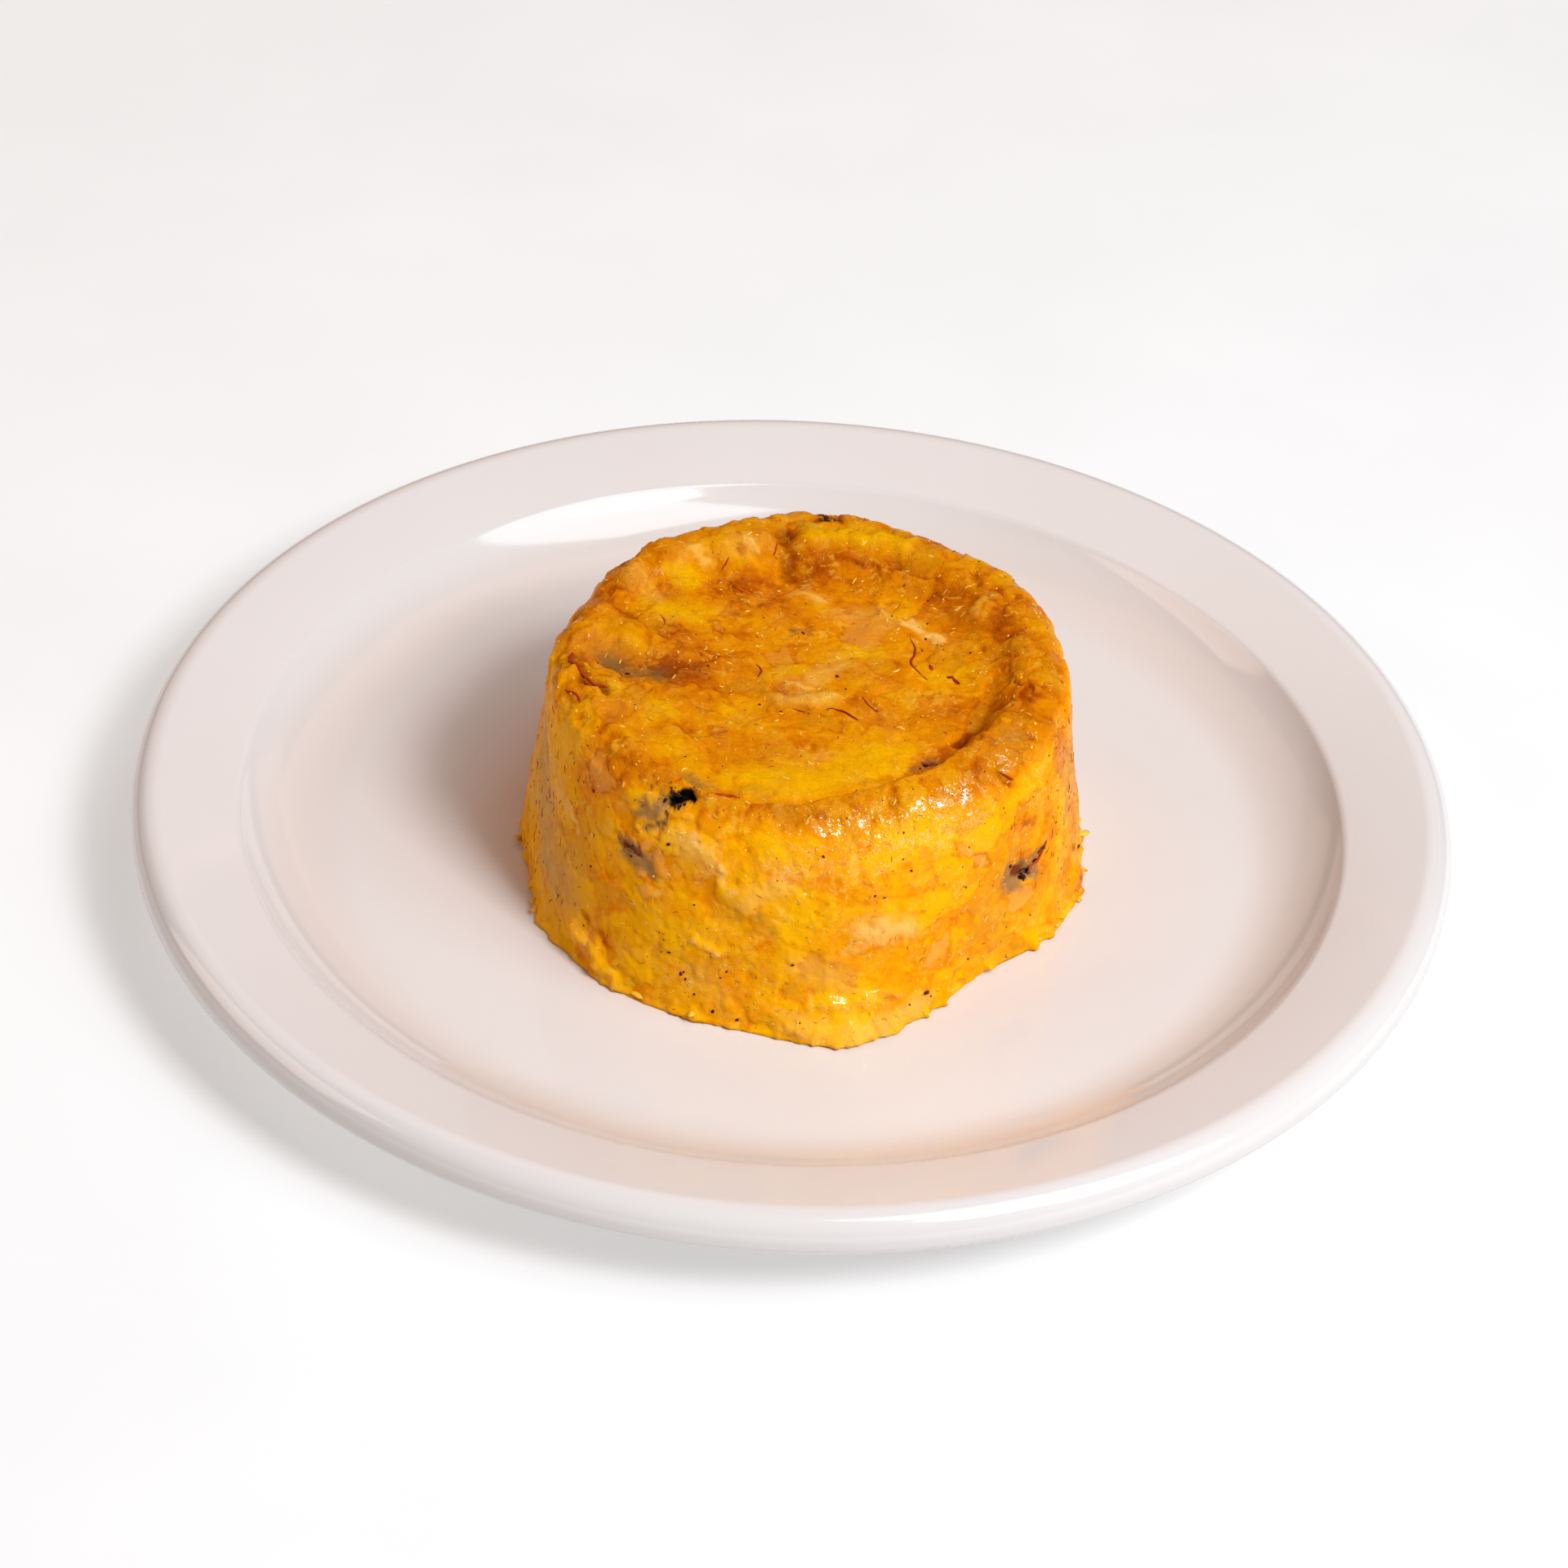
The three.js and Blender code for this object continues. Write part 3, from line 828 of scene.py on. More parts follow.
def shaken(places, size, amount, seed):
    """Places pushed about by noise, so that what is measured from them is ragged."""
    pushes = [field(places, size, seed + axis) for axis in range(3)]
    return places + amount * np.stack(pushes, -1)


def ridges(places, size, seed, stretch=(1, 1, 1)):
    """Thin raised lines, 1 on a line and falling to 0 away from it."""
    return 1 - np.minimum(np.abs(field(places, size, seed, stretch=stretch)) * 5, 1)


def unrolled(places):
    """Places given by how far round the drum they are and how far up it and in over its shoulder."""
    around = np.arctan2(places[:, 1], places[:, 0]) * DRUM_SHOULDER_RADIUS
    along = places[:, 2] - np.hypot(places[:, 0], places[:, 1])
    return np.stack([around, along, np.zeros(len(places))], -1)


def plantain_pieces(places):
    """Mashed pieces that overlap: how far each place's piece stands out, its tone, the crease round it."""
    draw = random.Random(23)
    middles, sizes, leans = [], [], []
    for _ in range(PIECE_COUNT):
        middles.append(random_place(draw))
        sizes.append(draw.uniform(0.4, 1.6))
        leans.append([draw.gauss(0, PIECE_LEAN) for _ in range(3)])
    rises = np.array([draw.gauss(0, PIECE_RISE) for _ in middles])
    tones = np.array([draw.random() for _ in middles])
    middles, sizes, leans = np.array(middles), np.array(sizes), np.array(leans)

    stands, tone, crease = np.zeros(len(places)), np.zeros(len(places)), np.zeros(len(places))
    rows = np.arange(PIECE_BATCH)
    for start in range(0, len(places), PIECE_BATCH):
        part = slice(start, start + PIECE_BATCH)
        batch = places[part]
        gaps = np.linalg.norm(batch[:, None] - middles[None], axis=2) / sizes
        nearest = np.argpartition(gaps, 1, axis=1)[:, :2]
        here = rows[:len(batch)]
        swap = gaps[here, nearest[:, 0]] > gaps[here, nearest[:, 1]]
        own = np.where(swap, nearest[:, 1], nearest[:, 0])
        other = np.where(swap, nearest[:, 0], nearest[:, 1])
        lean = np.sum((batch - middles[own]) * leans[own], axis=1)
        stands[part] = rises[own] + np.clip(lean, -PIECE_RISE, PIECE_RISE)
        tone[part] = tones[own]
        crease[part] = 1 - smoothstep(gaps[here, other] - gaps[here, own], 0, CREASE_WIDTH)
    return stands, tone, crease


def mash_relief(places, tints):
    """How far the mash stands out from the drum's smooth form at each place, in millimetres."""
    height = places[:, 2]
    topness = smoothstep(height, WALL_TOP, DRUM_HEIGHT - 2)
    foot = 1 - smoothstep(height, 0.5, 5)
    left = smoothstep(-places[:, 0], 4, 34) * topness
    torn = shaken(shaken(places, 4.5, 1.8, seed=21), 1.4, 0.5, seed=31)
    stands, tone, crease = plantain_pieces(torn)
    middle = 1 - crease
    pale = smoothstep(tone, *PALE_PIECES) * (0.45 - 0.15 * topness) * middle
    tints["piece"] = tone
    tints["seam"] = crease
    tints["pale"] = np.maximum(tints["pale"], pale)
    tints["dull"] = smoothstep(tone, *DULL_PIECES_START) * (1 - smoothstep(tone, *DULL_PIECES_END)) * middle

    lumps = field(places, 12, seed=1) * (0.3 + 0.7 * left)
    chunks = field(places, 4.0, seed=2, octaves=3) * (0.09 + 0.2 * topness + 0.3 * left)
    crumbs = field(places, 1.5, seed=4) * CRUMB_HEIGHT
    threads = ridges(places, 2.6, seed=5) * THREAD_HEIGHT
    fibres = ridges(places, 1.8, seed=6, stretch=(1, 1, 0.25)) * FIBRE_HEIGHT * tints["fibrous"]
    pits = -smoothstep(field(places, 3.0, seed=7), 0.42, 0.6) * PIT_DEPTH
    smears = ridges(torn, 3.4, seed=12, stretch=(1, 1, 0.45)) * SMEAR_HEIGHT * (1 - topness)
    ragged = (field(places, 3.8, seed=8) + 0.15 * field(places, 1.3, seed=9)) * RAGGED_FOOT * foot
    rippled = field(unrolled(places), 1.1, seed=14, stretch=(1, 0.4, 1))
    ripples = rippled * RIPPLE_HEIGHT * np.minimum(tints["wet"], WETTEST)
    fine = (stands - crease * CREASE_DEPTH + pits) * (0.6 + 0.4 * topness) + chunks
    # Painted shade: where the fine relief sinks, the colour is made darker.
    tints["painted_hollow_shade"] = smoothstep(-fine, 0.1, 0.7)
    spread = FOOT_SPREAD * (1 - smoothstep(height, 0, 1.4))
    return lumps + fine + crumbs + threads + fibres + smears + ragged + ripples + spread


def select_where(mesh, kind, wanted):
    """In edit mode, selects the edges or faces that are wanted and nothing else."""
    bpy.ops.mesh.select_all(action="DESELECT")
    bpy.ops.mesh.select_mode(type=kind)
    edit = bmesh.from_edit_mesh(mesh)
    for item in edit.edges if kind == "EDGE" else edit.faces:
        item.select_set(wanted(item))
    bmesh.update_edit_mesh(mesh)


def drum_cage():
    """A coarse cage of quads: a cylinder whose wall is cut in rings and whose top is filled with a grid."""
    deselect_all()
    top = DRUM_HEIGHT * MM
    bpy.ops.mesh.primitive_cylinder_add(
        vertices=CAGE_SEGMENTS,
        radius=DRUM_FOOT_RADIUS * MM,
        depth=top,
        end_fill_type="NGON",
        location=(0, 0, DRUM_HEIGHT / 2 * MM),
    )
    cage = bpy.context.object
    cage.name = "mash_drum"
    bpy.ops.object.transform_apply(location=True, rotation=True, scale=True)
    bpy.ops.object.mode_set(mode="EDIT")
    select_where(cage.data, "EDGE", lambda edge: abs(edge.verts[0].co.z - edge.verts[1].co.z) > top / 2)
    bpy.ops.mesh.subdivide(number_cuts=CAGE_RINGS - 1)
    select_where(cage.data, "FACE", lambda face: face.normal.z > 0.9)
    bpy.ops.mesh.delete(type="ONLY_FACE")
    select_where(cage.data, "EDGE", lambda edge: min(vertex.co.z for vertex in edge.verts) > top - MM / 10)
    bpy.ops.mesh.fill_grid(span=CAGE_SPAN)
    bpy.ops.object.mode_set(mode="OBJECT")

    modifier = cage.modifiers.new("halvings", "SUBSURF")
    modifier.subdivision_type = "SIMPLE"
    modifier.levels = CAGE_HALVINGS
    modifier.render_levels = CAGE_HALVINGS
    bpy.ops.object.modifier_apply(modifier=modifier.name)
    return cage


def read_triples(items, what):
    """The three numbers that each of a mesh's items holds, such as a vertex's place."""
    values = np.zeros(len(items) * 3, np.float32)
    items.foreach_get(what, values)
    return values.reshape(-1, 3).astype(float)


def write_places(mesh, places):
    mesh.vertices.foreach_set("co", np.ascontiguousarray(places, np.float32).ravel())
    mesh.update()


def rounded_form(caged):
    """The drum's smooth form at each point of the cage, from how far round, up and in that point is."""
    bearing = np.degrees(np.arctan2(caged[:, 1], caged[:, 0]))
    turn = 360 / CAGE_SEGMENTS
    chord = math.cos(math.radians(turn / 2)) / np.cos(np.radians(bearing % turn - turn / 2))
    share = np.hypot(caged[:, 0], caged[:, 1]) / (DRUM_FOOT_RADIUS * chord)

    wall = math.hypot(WALL_TOP, DRUM_FOOT_RADIUS - DRUM_SHOULDER_RADIUS)
    shoulder = SHOULDER_ROUNDING * math.pi / 2
    along = caged[:, 2] / DRUM_HEIGHT * (wall + shoulder)
    climbed = np.clip(along / wall, 0, 1)
    angle = np.clip((along - wall) / SHOULDER_ROUNDING, 0, math.pi / 2)
    inset = DRUM_SHOULDER_RADIUS + (DRUM_FOOT_RADIUS - DRUM_SHOULDER_RADIUS) * (1 - climbed)
    radius = inset - SHOULDER_ROUNDING * (1 - np.cos(angle))
    height = WALL_TOP * climbed + SHOULDER_ROUNDING * np.sin(angle)
    return drum_place(radius * share, height, bearing)


def marks_at(places):
    """How far the marks stand out at each place, and how strongly each tint lies there."""
    uneven = shaken(shaken(places, 3.4, 1.5, seed=11), 1.1, 0.6, seed=15)
    tints = {name: np.zeros(len(places)) for name in TINTS}
    marked = np.zeros(len(places))
    for lay, points, width, rise, strengths in MARKS + hidden_marks():
        amount = np.exp(-((distance_to_path(uneven, [lay(*point) for point in points]) / width) ** 2))
        marked += rise * amount
        for name, strength in strengths.items():
            tints[name] = np.maximum(tints[name], strength * amount)
    return marked, tints


def mash_drum():
    """The drum's form with the relief of the real mash, as high as the CAD drum and sunk to the plate."""
    cage = drum_cage()
    mesh = cage.data
    smooth = rounded_form(read_triples(mesh.vertices, "co") / MM)
    write_places(mesh, smooth * MM)
    normals = read_triples(mesh.vertex_normals, "vector")
    marked, tints = marks_at(smooth)
    height, upness = smooth[:, 2], normals[:, 2]
    tints["crown"] = smoothstep(height, WALL_TOP - 3, DRUM_HEIGHT - 3) * smoothstep(upness, 0.25, 0.85)

    at_base = height < BASE_LEVEL
    relief = np.where(at_base & (upness < -0.5), 0, mash_relief(smooth, tints) + marked)
    outwards = normals.copy()
    outwards[:, 2] *= smoothstep(height, 0.5, 3)
    outwards /= np.maximum(np.linalg.norm(outwards, axis=1), 0.5)[:, None]
    places = smooth + outwards * relief[:, None]
    z = np.where(at_base, 0, np.maximum(places[:, 2], LEAST_LEVEL))
    ceiling = cad_box[1].z / MM - DRUM_BASE - TOP_CLEARANCE
    z = np.minimum(z, ceiling + TOP_SOFTNESS * np.tanh((z - ceiling) / TOP_SOFTNESS) * TOP_GIVE)
    places[:, 2] = z - DRUM_SINK * (1 - smoothstep(z, 0, SINK_REACH))
    write_places(mesh, (places + np.array([*DRUM_CENTRE, DRUM_BASE])) * MM)
    for name, values in tints.items():
        give_attribute(cage, name, values)
    make_active(cage)
    bpy.ops.object.shade_smooth()
    finish_piece(cage, plantain_mash(), "trifongo")
    return cage


# ======================================================================== strewn things


class Skin:
    """The finished surface of the mash, for laying things on it."""

    def __init__(self, piece):
        places = [vertex.co / MM for vertex in piece.data.vertices]
        self.tree = BVHTree.FromPolygons(places, [tuple(face.vertices) for face in piece.data.polygons])
        self.axis_foot = Vector((*DRUM_CENTRE, DRUM_BASE))

    def near(self, place):
        """The surface's nearest place and outward direction, for a place given from the drum's axis."""
        spot, normal, _, _ = self.tree.find_nearest(Vector(place) + self.axis_foot)
        return spot, normal


class Heap:
    """Many small things joined into one mesh, with a shade of its own for each."""

    def __init__(self, name, seed):
        self.name = name
        self.draw = random.Random(seed)
        self.places = []
        self.faces = []
        self.shades = []

    def take(self, places, faces, tone):
        start = len(self.places)
        self.places.extend(places)
        self.faces.extend(tuple(start + index for index in face) for face in faces)
        self.shades.extend([tone] * len(places))

    def blob(self, template, spot, normal, sizes, lift=0.0, jag=0.25):
        """One rounded bit, as long, wide and thick as sizes says, lying on the surface at a random turn."""
        side = normal.cross(Vector(random_direction(self.draw))).normalized()
        across = normal.cross(side)
        centre = spot + normal * lift
        places = []
        for corner in template[0]:
            grown = 1 + self.draw.uniform(-jag, jag)
            local = [c * size * grown for c, size in zip(corner, sizes)]
            places.append(centre + side * local[0] + across * local[1] + normal * local[2])
        self.take(places, template[1], self.draw.random())

    def strand(self, spots, normals, width, thickness, sides=5, taper=0.75):
        """A strand along the spots, lying on the surface, pointed at both ends."""
        count = len(spots)
        places = []
        for index, (spot, normal) in enumerate(zip(spots, normals)):
            ahead = spots[min(index + 1, count - 1)] - spots[max(index - 1, 0)]
            if ahead.length < 1e-6:
                ahead = Vector(random_direction(self.draw))
            side = normal.cross(ahead).normalized()
            middle = 1 - abs(2 * index / (count - 1) - 1)
            girth = 1 - taper * (1 - middle) ** 2
            for corner in range(sides):
                angle = 2 * math.pi * corner / sides
                sideways = side * (math.cos(angle) * width * girth)
                upwards = normal * (math.sin(angle) * thickness * girth)
                places.append(spot + (sideways + upwards))
        faces = []
        for ring in range(count - 1):
            for corner in range(sides):
                here = ring * sides + corner
                beside = ring * sides + (corner + 1) % sides
                faces.append((here, beside, beside + sides, here + sides))
        faces.append(tuple(reversed(range(sides))))
        faces.append(tuple(range((count - 1) * sides, count * sides)))
        self.take(places, faces, self.draw.random())

    def finished(self, material):
        """The heap as one piece of the mash."""
        piece = new_piece(self.name, self.places, self.faces)
        give_attribute(piece, "shade", self.shades)
        make_active(piece)
        bpy.ops.object.mode_set(mode="EDIT")
        bpy.ops.mesh.select_all(action="SELECT")
        bpy.ops.mesh.normals_make_consistent(inside=False)
        bpy.ops.object.mode_set(mode="OBJECT")
        bpy.ops.object.shade_smooth()
        finish_piece(piece, material)


def random_direction(draw):
    return (draw.gauss(0, 1), draw.gauss(0, 1), draw.gauss(0, 1))


def ball_template(subdivisions):
    """Corners and faces of a small round ball, modelled once and copied."""
    deselect_all()
    bpy.ops.mesh.primitive_ico_sphere_add(subdivisions=subdivisions, radius=1)
    ball = bpy.context.object
    corners = [tuple(vertex.co) for vertex in ball.data.vertices]
    faces = [tuple(face.vertices) for face in ball.data.polygons]
    bpy.data.objects.remove(ball)
    return corners, faces


def random_place(draw):
    """A place anywhere on the drum, evenly over wall and top."""
    wall_area = 2 * math.pi * DRUM_FOOT_RADIUS * WALL_TOP
    top_area = math.pi * DRUM_SHOULDER_RADIUS**2
    if draw.random() < wall_area / (wall_area + top_area):
        return on_wall(draw.uniform(-180, 180), draw.uniform(0.5, DRUM_HEIGHT - 2))
    radius = DRUM_SHOULDER_RADIUS * math.sqrt(draw.random())
    angle = draw.uniform(-math.pi, math.pi)
    return on_top(radius * math.cos(angle), radius * math.sin(angle))


def strand_over(skin, draw, start, length, curl, lift, upright=0.0, points=5):
    """Spots and normals of a short curled path that keeps to the surface and may tend upright."""
    spot, normal = skin.near(start)
    heading = normal.cross(Vector(random_direction(draw))).normalized()
    if upright:
        heading = (heading * (1 - upright) + Vector((0, 0, draw.choice((-1, 1)))) * upright).normalized()
    spots, normals = [], []
    turn = draw.uniform(-curl, curl)
    for _ in range(points):
        spots.append(spot + normal * lift)
        normals.append(normal)
        heading = (heading + normal.cross(heading) * turn / points * 2).normalized()
        turn += draw.uniform(-curl, curl) * 0.4
        spot, normal = skin.near(spot + heading * (length / points) - skin.axis_foot)
    return spots, normals


def laid_path(skin, path, lift, points=12):
    """Spots and normals along a path of places, smoothed and laid on the surface."""
    path = [Vector(place) for place in path]
    spots, normals = [], []
    for index in range(points):
        at = index / (points - 1) * (len(path) - 1)
        segment = min(int(at), len(path) - 2)
        share = at - segment
        before = path[max(segment - 1, 0)]
        after = path[min(segment + 2, len(path) - 1)]
        start, end = path[segment], path[segment + 1]
        smooth = 0.5 * (
            2 * start
            + (end - before) * share
            + (2 * before - 5 * start + 4 * end - after) * share**2
            + (3 * start - before - 3 * end + after) * share**3
        )
        spot, normal = skin.near(smooth)
        spots.append(spot + normal * lift)
        normals.append(normal)
    return spots, normals


# Dark strands that can be told apart: what they lie on, path, half width.
DARK_STRANDS = [
    (on_top, [(17.2, 12.6), (18.2, 10), (18.2, 7.5), (17.8, 5.5), (18.6, 3.5), (20.3, 1.5)], 0.24),
    (on_top, [(20.3, 1.5), (21.2, 0.6)], 0.12),
    (on_top, [(21.6, 4.8), (22.0, 3.2)], 0.28),
    (on_top, [(24.6, 1.8), (25.9, 1.0), (27, -0.4)], 0.32),
    (on_top, [(-43.0, -2.4), (-41.5, -6.0), (-39.6, -10.6)], 0.50),
    (on_top, [(-40.2, -9.6), (-37.6, -11.6), (-35.6, -12.4)], 0.34),
    (on_top, [(-39.8, -11.4), (-38.6, -13.4)], 0.30),
    (on_wall, [(-163, 42.0), (-160, 43.0), (-156, 43.0)], 0.22),
    (on_top, [(-9.6, 1.4), (-8.6, -0.4), (-9.2, -2.2)], 0.18),
    (on_top, [(-2.6, -11.4), (-0.2, -12.2)], 0.14),
    (on_top, [(3.4, -11.0), (6.2, -11.2), (9.0, -13.0)], 0.26),
    (on_top, [(9.4, -6.4), (10.6, -8.6), (12.4, -10.2)], 0.12),
    (on_wall, [(-40, 42.5), (-38.5, 41.2), (-37.6, 40.6)], 0.24),
    (on_wall, [(-26, 21.4), (-28.4, 18.8), (-32, 17.6)], 0.26),
    (on_top, [(20.0, -24.2), (22.2, -23.4)], 0.30),
    (on_top, [(26.4, -18.4), (29.4, -15.2)], 0.16),
    (on_top, [(-17, -38.0), (-13.4, -36.6), (-11, -36.9)], 0.20),
    (on_top, [(-15.6, 27.6), (-13.4, 25.4), (-11.4, 24.4)], 0.14),
    (on_top, [(-16.4, 31.4), (-17.2, 29.4)], 0.16),
    (on_top, [(-7.2, 33.6), (-7.4, 31.6)], 0.20),
    (on_top, [(-28.6, 13.6), (-27.4, 12.2), (-27.6, 10.6)], 0.12),
]

# Dark specks that can be told apart: what they lie on, then the place and half width of each.
DARK_SPECKS = [
    (on_top, [
        (4.9, -1.0, 0.42), (-1.5, 12.0, 0.42), (-32.4, -4.6, 0.55), (-39.2, -12.6, 0.42),
        (-8.4, -10.0, 0.32), (-16.4, 3.0, 0.28), (18.6, 15.6, 0.18),
    ]),
    (on_wall, [
        (-118, 32.7, 0.42), (-85, 36, 0.36), (-66, 31, 0.30), (-74, 27.4, 0.30),
        (-72, 26.8, 0.26), (-52, 23, 0.28), (-90, 14.6, 0.42), (-115, 12, 0.42),
        (-112, 8.4, 0.46), (-111, 7.6, 0.34), (-111.6, 8.9, 0.30), (-109, 5, 0.30),
        (-105, 2.4, 0.40), (-100, 1.8, 0.42), (-103, 11, 0.30), (-104, 9.6, 0.24),
        (-62, 4.6, 0.70), (-66, 3.6, 0.26), (-34, 17.6, 0.62), (-38, 21.4, 0.42),
        (-7, 9, 0.55), (-140, 34, 0.40), (-137, 20, 0.30),
    ]),
    (on_top, [(20.6, -24.4, 0.55), (22.6, -23.8, 0.42), (1.4, 42.2, 0.60)]),
]

SPECK_COUNT = 420
FINE_STRAND_COUNT = 330
SIDE_STRAND_COUNT = 240
SHRED_COUNT = 1100
BEAD_COUNT = 640
CRUMB_COUNT = 44


def dark_specks(skin, ball):
    """Black-brown specks, those that can be told apart where they lie and small ones strewn."""
    heap = Heap("dark_specks", seed=3)
    for lay, specks in DARK_SPECKS:
        for first, second, width in specks:
            spot, normal = skin.near(lay(first, second))
            heap.blob(ball, spot, normal, (width, width * 0.8, width * 0.45), lift=0.02)
    for _ in range(SPECK_COUNT):
        spot, normal = skin.near(random_place(heap.draw))
        width = 0.07 + 0.16 * heap.draw.random() ** 2.5
        heap.blob(ball, spot, normal, (width * 1.3, width, width * 0.6))
    light, dark = shade(96, 34, 10), shade(26, 10, 6)
    heap.finished(strewn_finish("pepper", light, dark, roughness=0.5, coat=0.04))


def char_bits(skin, ball):
    """Black crumbs packed into the pit, the back patch, the crease and the two dark marks of the wall."""
    heap = Heap("char_bits", seed=5)
    for centre, reach, count in [
        (on_wall(-119, 41), 1.5, 34),
        (on_top(1.5, 42), 1.4, 14),
        (on_top(21, -24.2), 1.2, 8),
        (on_wall(-33, 17.8), 1.5, 16),
        (on_wall(-127, 28.2), 1.0, 8),
    ]:
        for _ in range(count):
            nudge = Vector(random_direction(heap.draw)) * reach * 0.5
            spot, normal = skin.near(Vector(centre) + nudge)
            width = heap.draw.uniform(0.14, 0.42)
            heap.blob(ball, spot, normal, (width * 1.4, width, width * 0.6), lift=-0.1, jag=0.4)
    light, dark = shade(60, 32, 20), shade(10, 7, 7)
    heap.finished(strewn_finish("char", light, dark, roughness=0.35, coat=0.3))


def plantain_fibres(skin):
    """Dark red fibres, the large ones where they lie and fine ones strewn, upright on the side faces."""
    heap = Heap("plantain_fibres", seed=7)
    for lay, points, width in DARK_STRANDS:
        spots, normals = laid_path(skin, [lay(*point) for point in points], lift=0.06)
        heap.strand(spots, normals, width, width * 0.7, sides=6)
    for _ in range(FINE_STRAND_COUNT):
        length = heap.draw.uniform(0.5, 1.9)
        place = random_place(heap.draw)
        spots, normals = strand_over(skin, heap.draw, place, length, curl=1.6, lift=0.02)
        width = heap.draw.uniform(0.035, 0.09)
        heap.strand(spots, normals, width, width, sides=4)
    for _ in range(SIDE_STRAND_COUNT):
        left, right = heap.draw.gauss(-162, 15), heap.draw.gauss(-8, 13)
        bearing = heap.draw.choice((left, right, heap.draw.uniform(20, 160)))
        place = on_wall(bearing, heap.draw.uniform(6, 38))
        length = heap.draw.uniform(0.8, 2.6)
        spots, normals = strand_over(skin, heap.draw, place, length, curl=0.7, lift=0.02, upright=0.72)
        width = heap.draw.uniform(0.04, 0.10)
        heap.strand(spots, normals, width, width, sides=4)
    light, dark = shade(196, 58, 14), shade(128, 24, 8)
    heap.finished(strewn_finish("plantain_fibre", light, dark, roughness=0.45, coat=0.06, subsurface=0.1))


def mash_shreds(skin):
    """Pale and golden shreds that lie all over the mash."""
    heap = Heap("mash_shreds", seed=11)
    for _ in range(SHRED_COUNT):
        place = random_place(heap.draw)
        length = heap.draw.uniform(0.7, 2.6)
        spots, normals = strand_over(skin, heap.draw, place, length, curl=1.8, lift=-0.02)
        width = heap.draw.uniform(0.09, 0.28)
        heap.strand(spots, normals, width, width * heap.draw.uniform(0.35, 0.6), taper=0.9)
    light, dark = shade(252, 200, 84), shade(226, 140, 8)
    heap.finished(strewn_finish("mash_shred", light, dark, roughness=0.3, coat=0.5, subsurface=0.25))


def wet_beads(skin, ball):
    """Beads of juice and oil, every third one on the wet roll."""
    heap = Heap("wet_beads", seed=13)
    for index in range(BEAD_COUNT):
        place = random_place(heap.draw)
        if index % 3 == 0:
            place = on_wall(heap.draw.gauss(-66, 15), min(heap.draw.gauss(40.6, 1.9), 43.2))
        spot, normal = skin.near(place)
        width = heap.draw.uniform(0.07, 0.24)
        sizes = (width * heap.draw.uniform(1, 1.7), width, width * 0.5)
        heap.blob(ball, spot, normal, sizes, jag=0.06)
    light, dark = shade(255, 200, 70), shade(236, 150, 20)
    heap.finished(strewn_finish("juice_bead", light, dark, roughness=0.06, coat=1.0))


def foot_crumbs(skin, ball):
    """Torn bits of mash along the foot."""
    heap = Heap("foot_crumbs", seed=17)
    upwards = Vector((0, 0, 1))
    for _ in range(CRUMB_COUNT):
        bearing = heap.draw.uniform(-180, 180)
        spot, _ = skin.near(on_wall(bearing, heap.draw.uniform(0.2, 1.6)))
        width = heap.draw.uniform(0.3, 0.9)
        spot.z = max(spot.z, PLATE_FLOOR + width * 0.3)
        heap.blob(ball, spot, upwards, (width * 1.7, width, width * 0.45), jag=0.45)
    light, dark = shade(252, 196, 60), shade(230, 150, 16)
    heap.finished(strewn_finish("torn_mash", light, dark, roughness=0.38, coat=0.4, subsurface=0.25))


# ======================================================================== stage, lights and camera

# The camera's place and lens are in millimetres. Its reach, the lights and the floor are in metres.
CAMERA_LENS = 100
CAMERA_SENSOR = 36
CAMERA_ELEVATION = 37.5007
CAMERA_ROLL = 3.2022
CAMERA_DISTANCE = 793.583
CAMERA_AIM_HEIGHT = 21.2
CAMERA_PAN = -0.00230781
CAMERA_TILT = -0.0030973
CAMERA_REACH = 20
LIGHT_AIM = 0.02
FLOOR_SIZE = 6
SURROUNDING = (1.0, 0.8, 0.7, 1)
SURROUNDING_STRENGTH = 0.01


def camera():
    """Looks down at the plate's middle from the front, with the slight roll of the photograph."""
    elevation = math.radians(CAMERA_ELEVATION)
    back = Vector((0, -math.cos(elevation), math.sin(elevation)))
    right = Vector((1, 0, 0))
    up = right.cross(-back)
    ahead = (-back + right * CAMERA_PAN + up * CAMERA_TILT).normalized()
    level_right = ahead.cross(Vector((0, 0, 1))).normalized()
    level_up = level_right.cross(ahead)
    roll = math.radians(CAMERA_ROLL)
    right = level_right * math.cos(roll) + level_up * math.sin(roll)
    up = level_up * math.cos(roll) - level_right * math.sin(roll)
    data = bpy.data.cameras.new("camera")
    data.lens = CAMERA_LENS
    data.sensor_width = CAMERA_SENSOR
    data.clip_end = CAMERA_REACH
    seen_from = bpy.data.objects.new("camera", data)
    bpy.context.scene.collection.objects.link(seen_from)
    turned = Matrix((right, up, -ahead)).transposed().to_4x4()
    place = (back * CAMERA_DISTANCE + Vector((0, 0, CAMERA_AIM_HEIGHT))) * MM
    seen_from.matrix_world = Matrix.Translation(place) @ turned
    bpy.context.scene.camera = seen_from


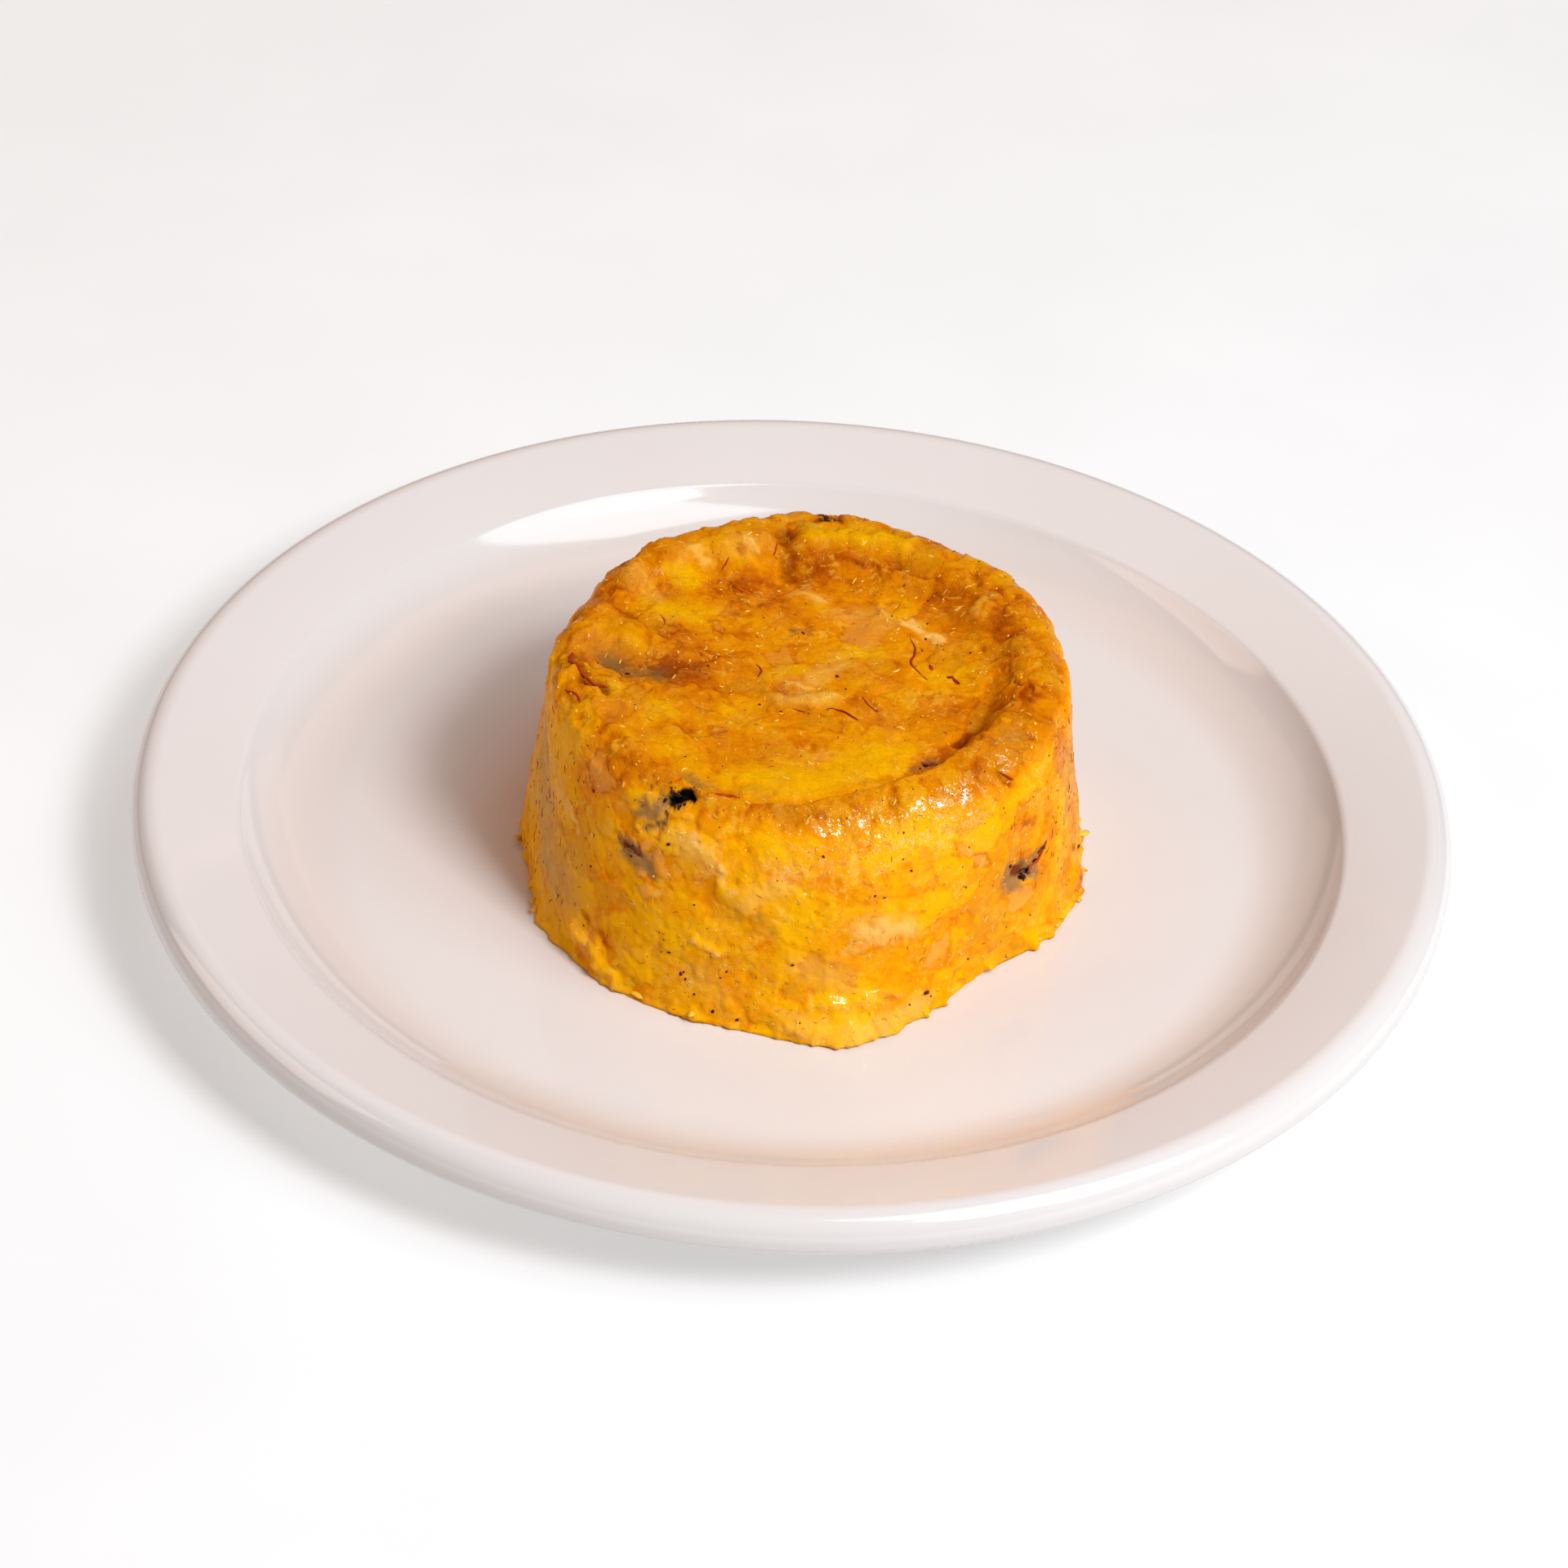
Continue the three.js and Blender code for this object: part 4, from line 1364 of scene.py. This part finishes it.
def soft_light(name, bearing, elevation, distance, size, power):
    """A rectangular light that faces the plate, with its power for red, green and blue."""
    turn, rise = math.radians(bearing), math.radians(elevation)
    away = Vector((math.cos(rise) * math.cos(turn), math.cos(rise) * math.sin(turn), math.sin(rise)))
    side = Vector((-math.sin(turn), math.cos(turn), 0))
    data = bpy.data.lights.new(name, "AREA")
    data.shape = "RECTANGLE"
    data.size, data.size_y = size
    data.energy = max(power)
    data.color = [watts / max(power) for watts in power]
    light = bpy.data.objects.new(name, data)
    bpy.context.scene.collection.objects.link(light)
    turned = Matrix((side, away.cross(side), away)).transposed().to_4x4()
    light.matrix_world = Matrix.Translation(away * distance + Vector((0, 0, LIGHT_AIM))) @ turned


def studio():
    """A bright lamp in a softbox above the right front, warm fills at the left and behind, dark round it."""
    # Bearing and elevation in degrees, distance and size in metres, watts of red, green and blue.
    soft_light("key", -47, 47, 1.35, (0.36, 0.36), (14.4, 14.1, 14.2))
    soft_light("softbox", -28, 55, 1.45, (0.72, 1.3), (10.1, 12.0, 13.0))
    soft_light("left_fill", 180, 28, 1.4, (1.0, 0.8), (5.3, 4.0, 3.3))
    soft_light("back_fill", 98, 50, 1.4, (1.8, 1.1), (3.9, 2.5, 1.9))
    soft_light("low_back", 90, 20, 1.5, (2.2, 0.5), (1.8, 1.0, 0.7))
    world = bpy.data.worlds.new("surrounding")
    world.use_nodes = True
    background = world.node_tree.nodes["Background"]
    background.inputs["Color"].default_value = SURROUNDING
    background.inputs["Strength"].default_value = SURROUNDING_STRENGTH
    bpy.context.scene.world = world

    deselect_all()
    bpy.ops.mesh.primitive_plane_add(size=FLOOR_SIZE, location=(0, 0, 0))
    floor = bpy.context.object
    floor.name = "floor"
    floor.data.materials.append(pale_floor())
    bpy.context.scene.view_settings.view_transform = "Standard"


# ======================================================================== build

plate()
drum = mash_drum()
skin = Skin(drum)
small_ball = ball_template(1)
round_ball = ball_template(2)
dark_specks(skin, small_ball)
char_bits(skin, small_ball)
plantain_fibres(skin)
mash_shreds(skin)
wet_beads(skin, round_ball)
foot_crumbs(skin, round_ball)
studio()
camera()
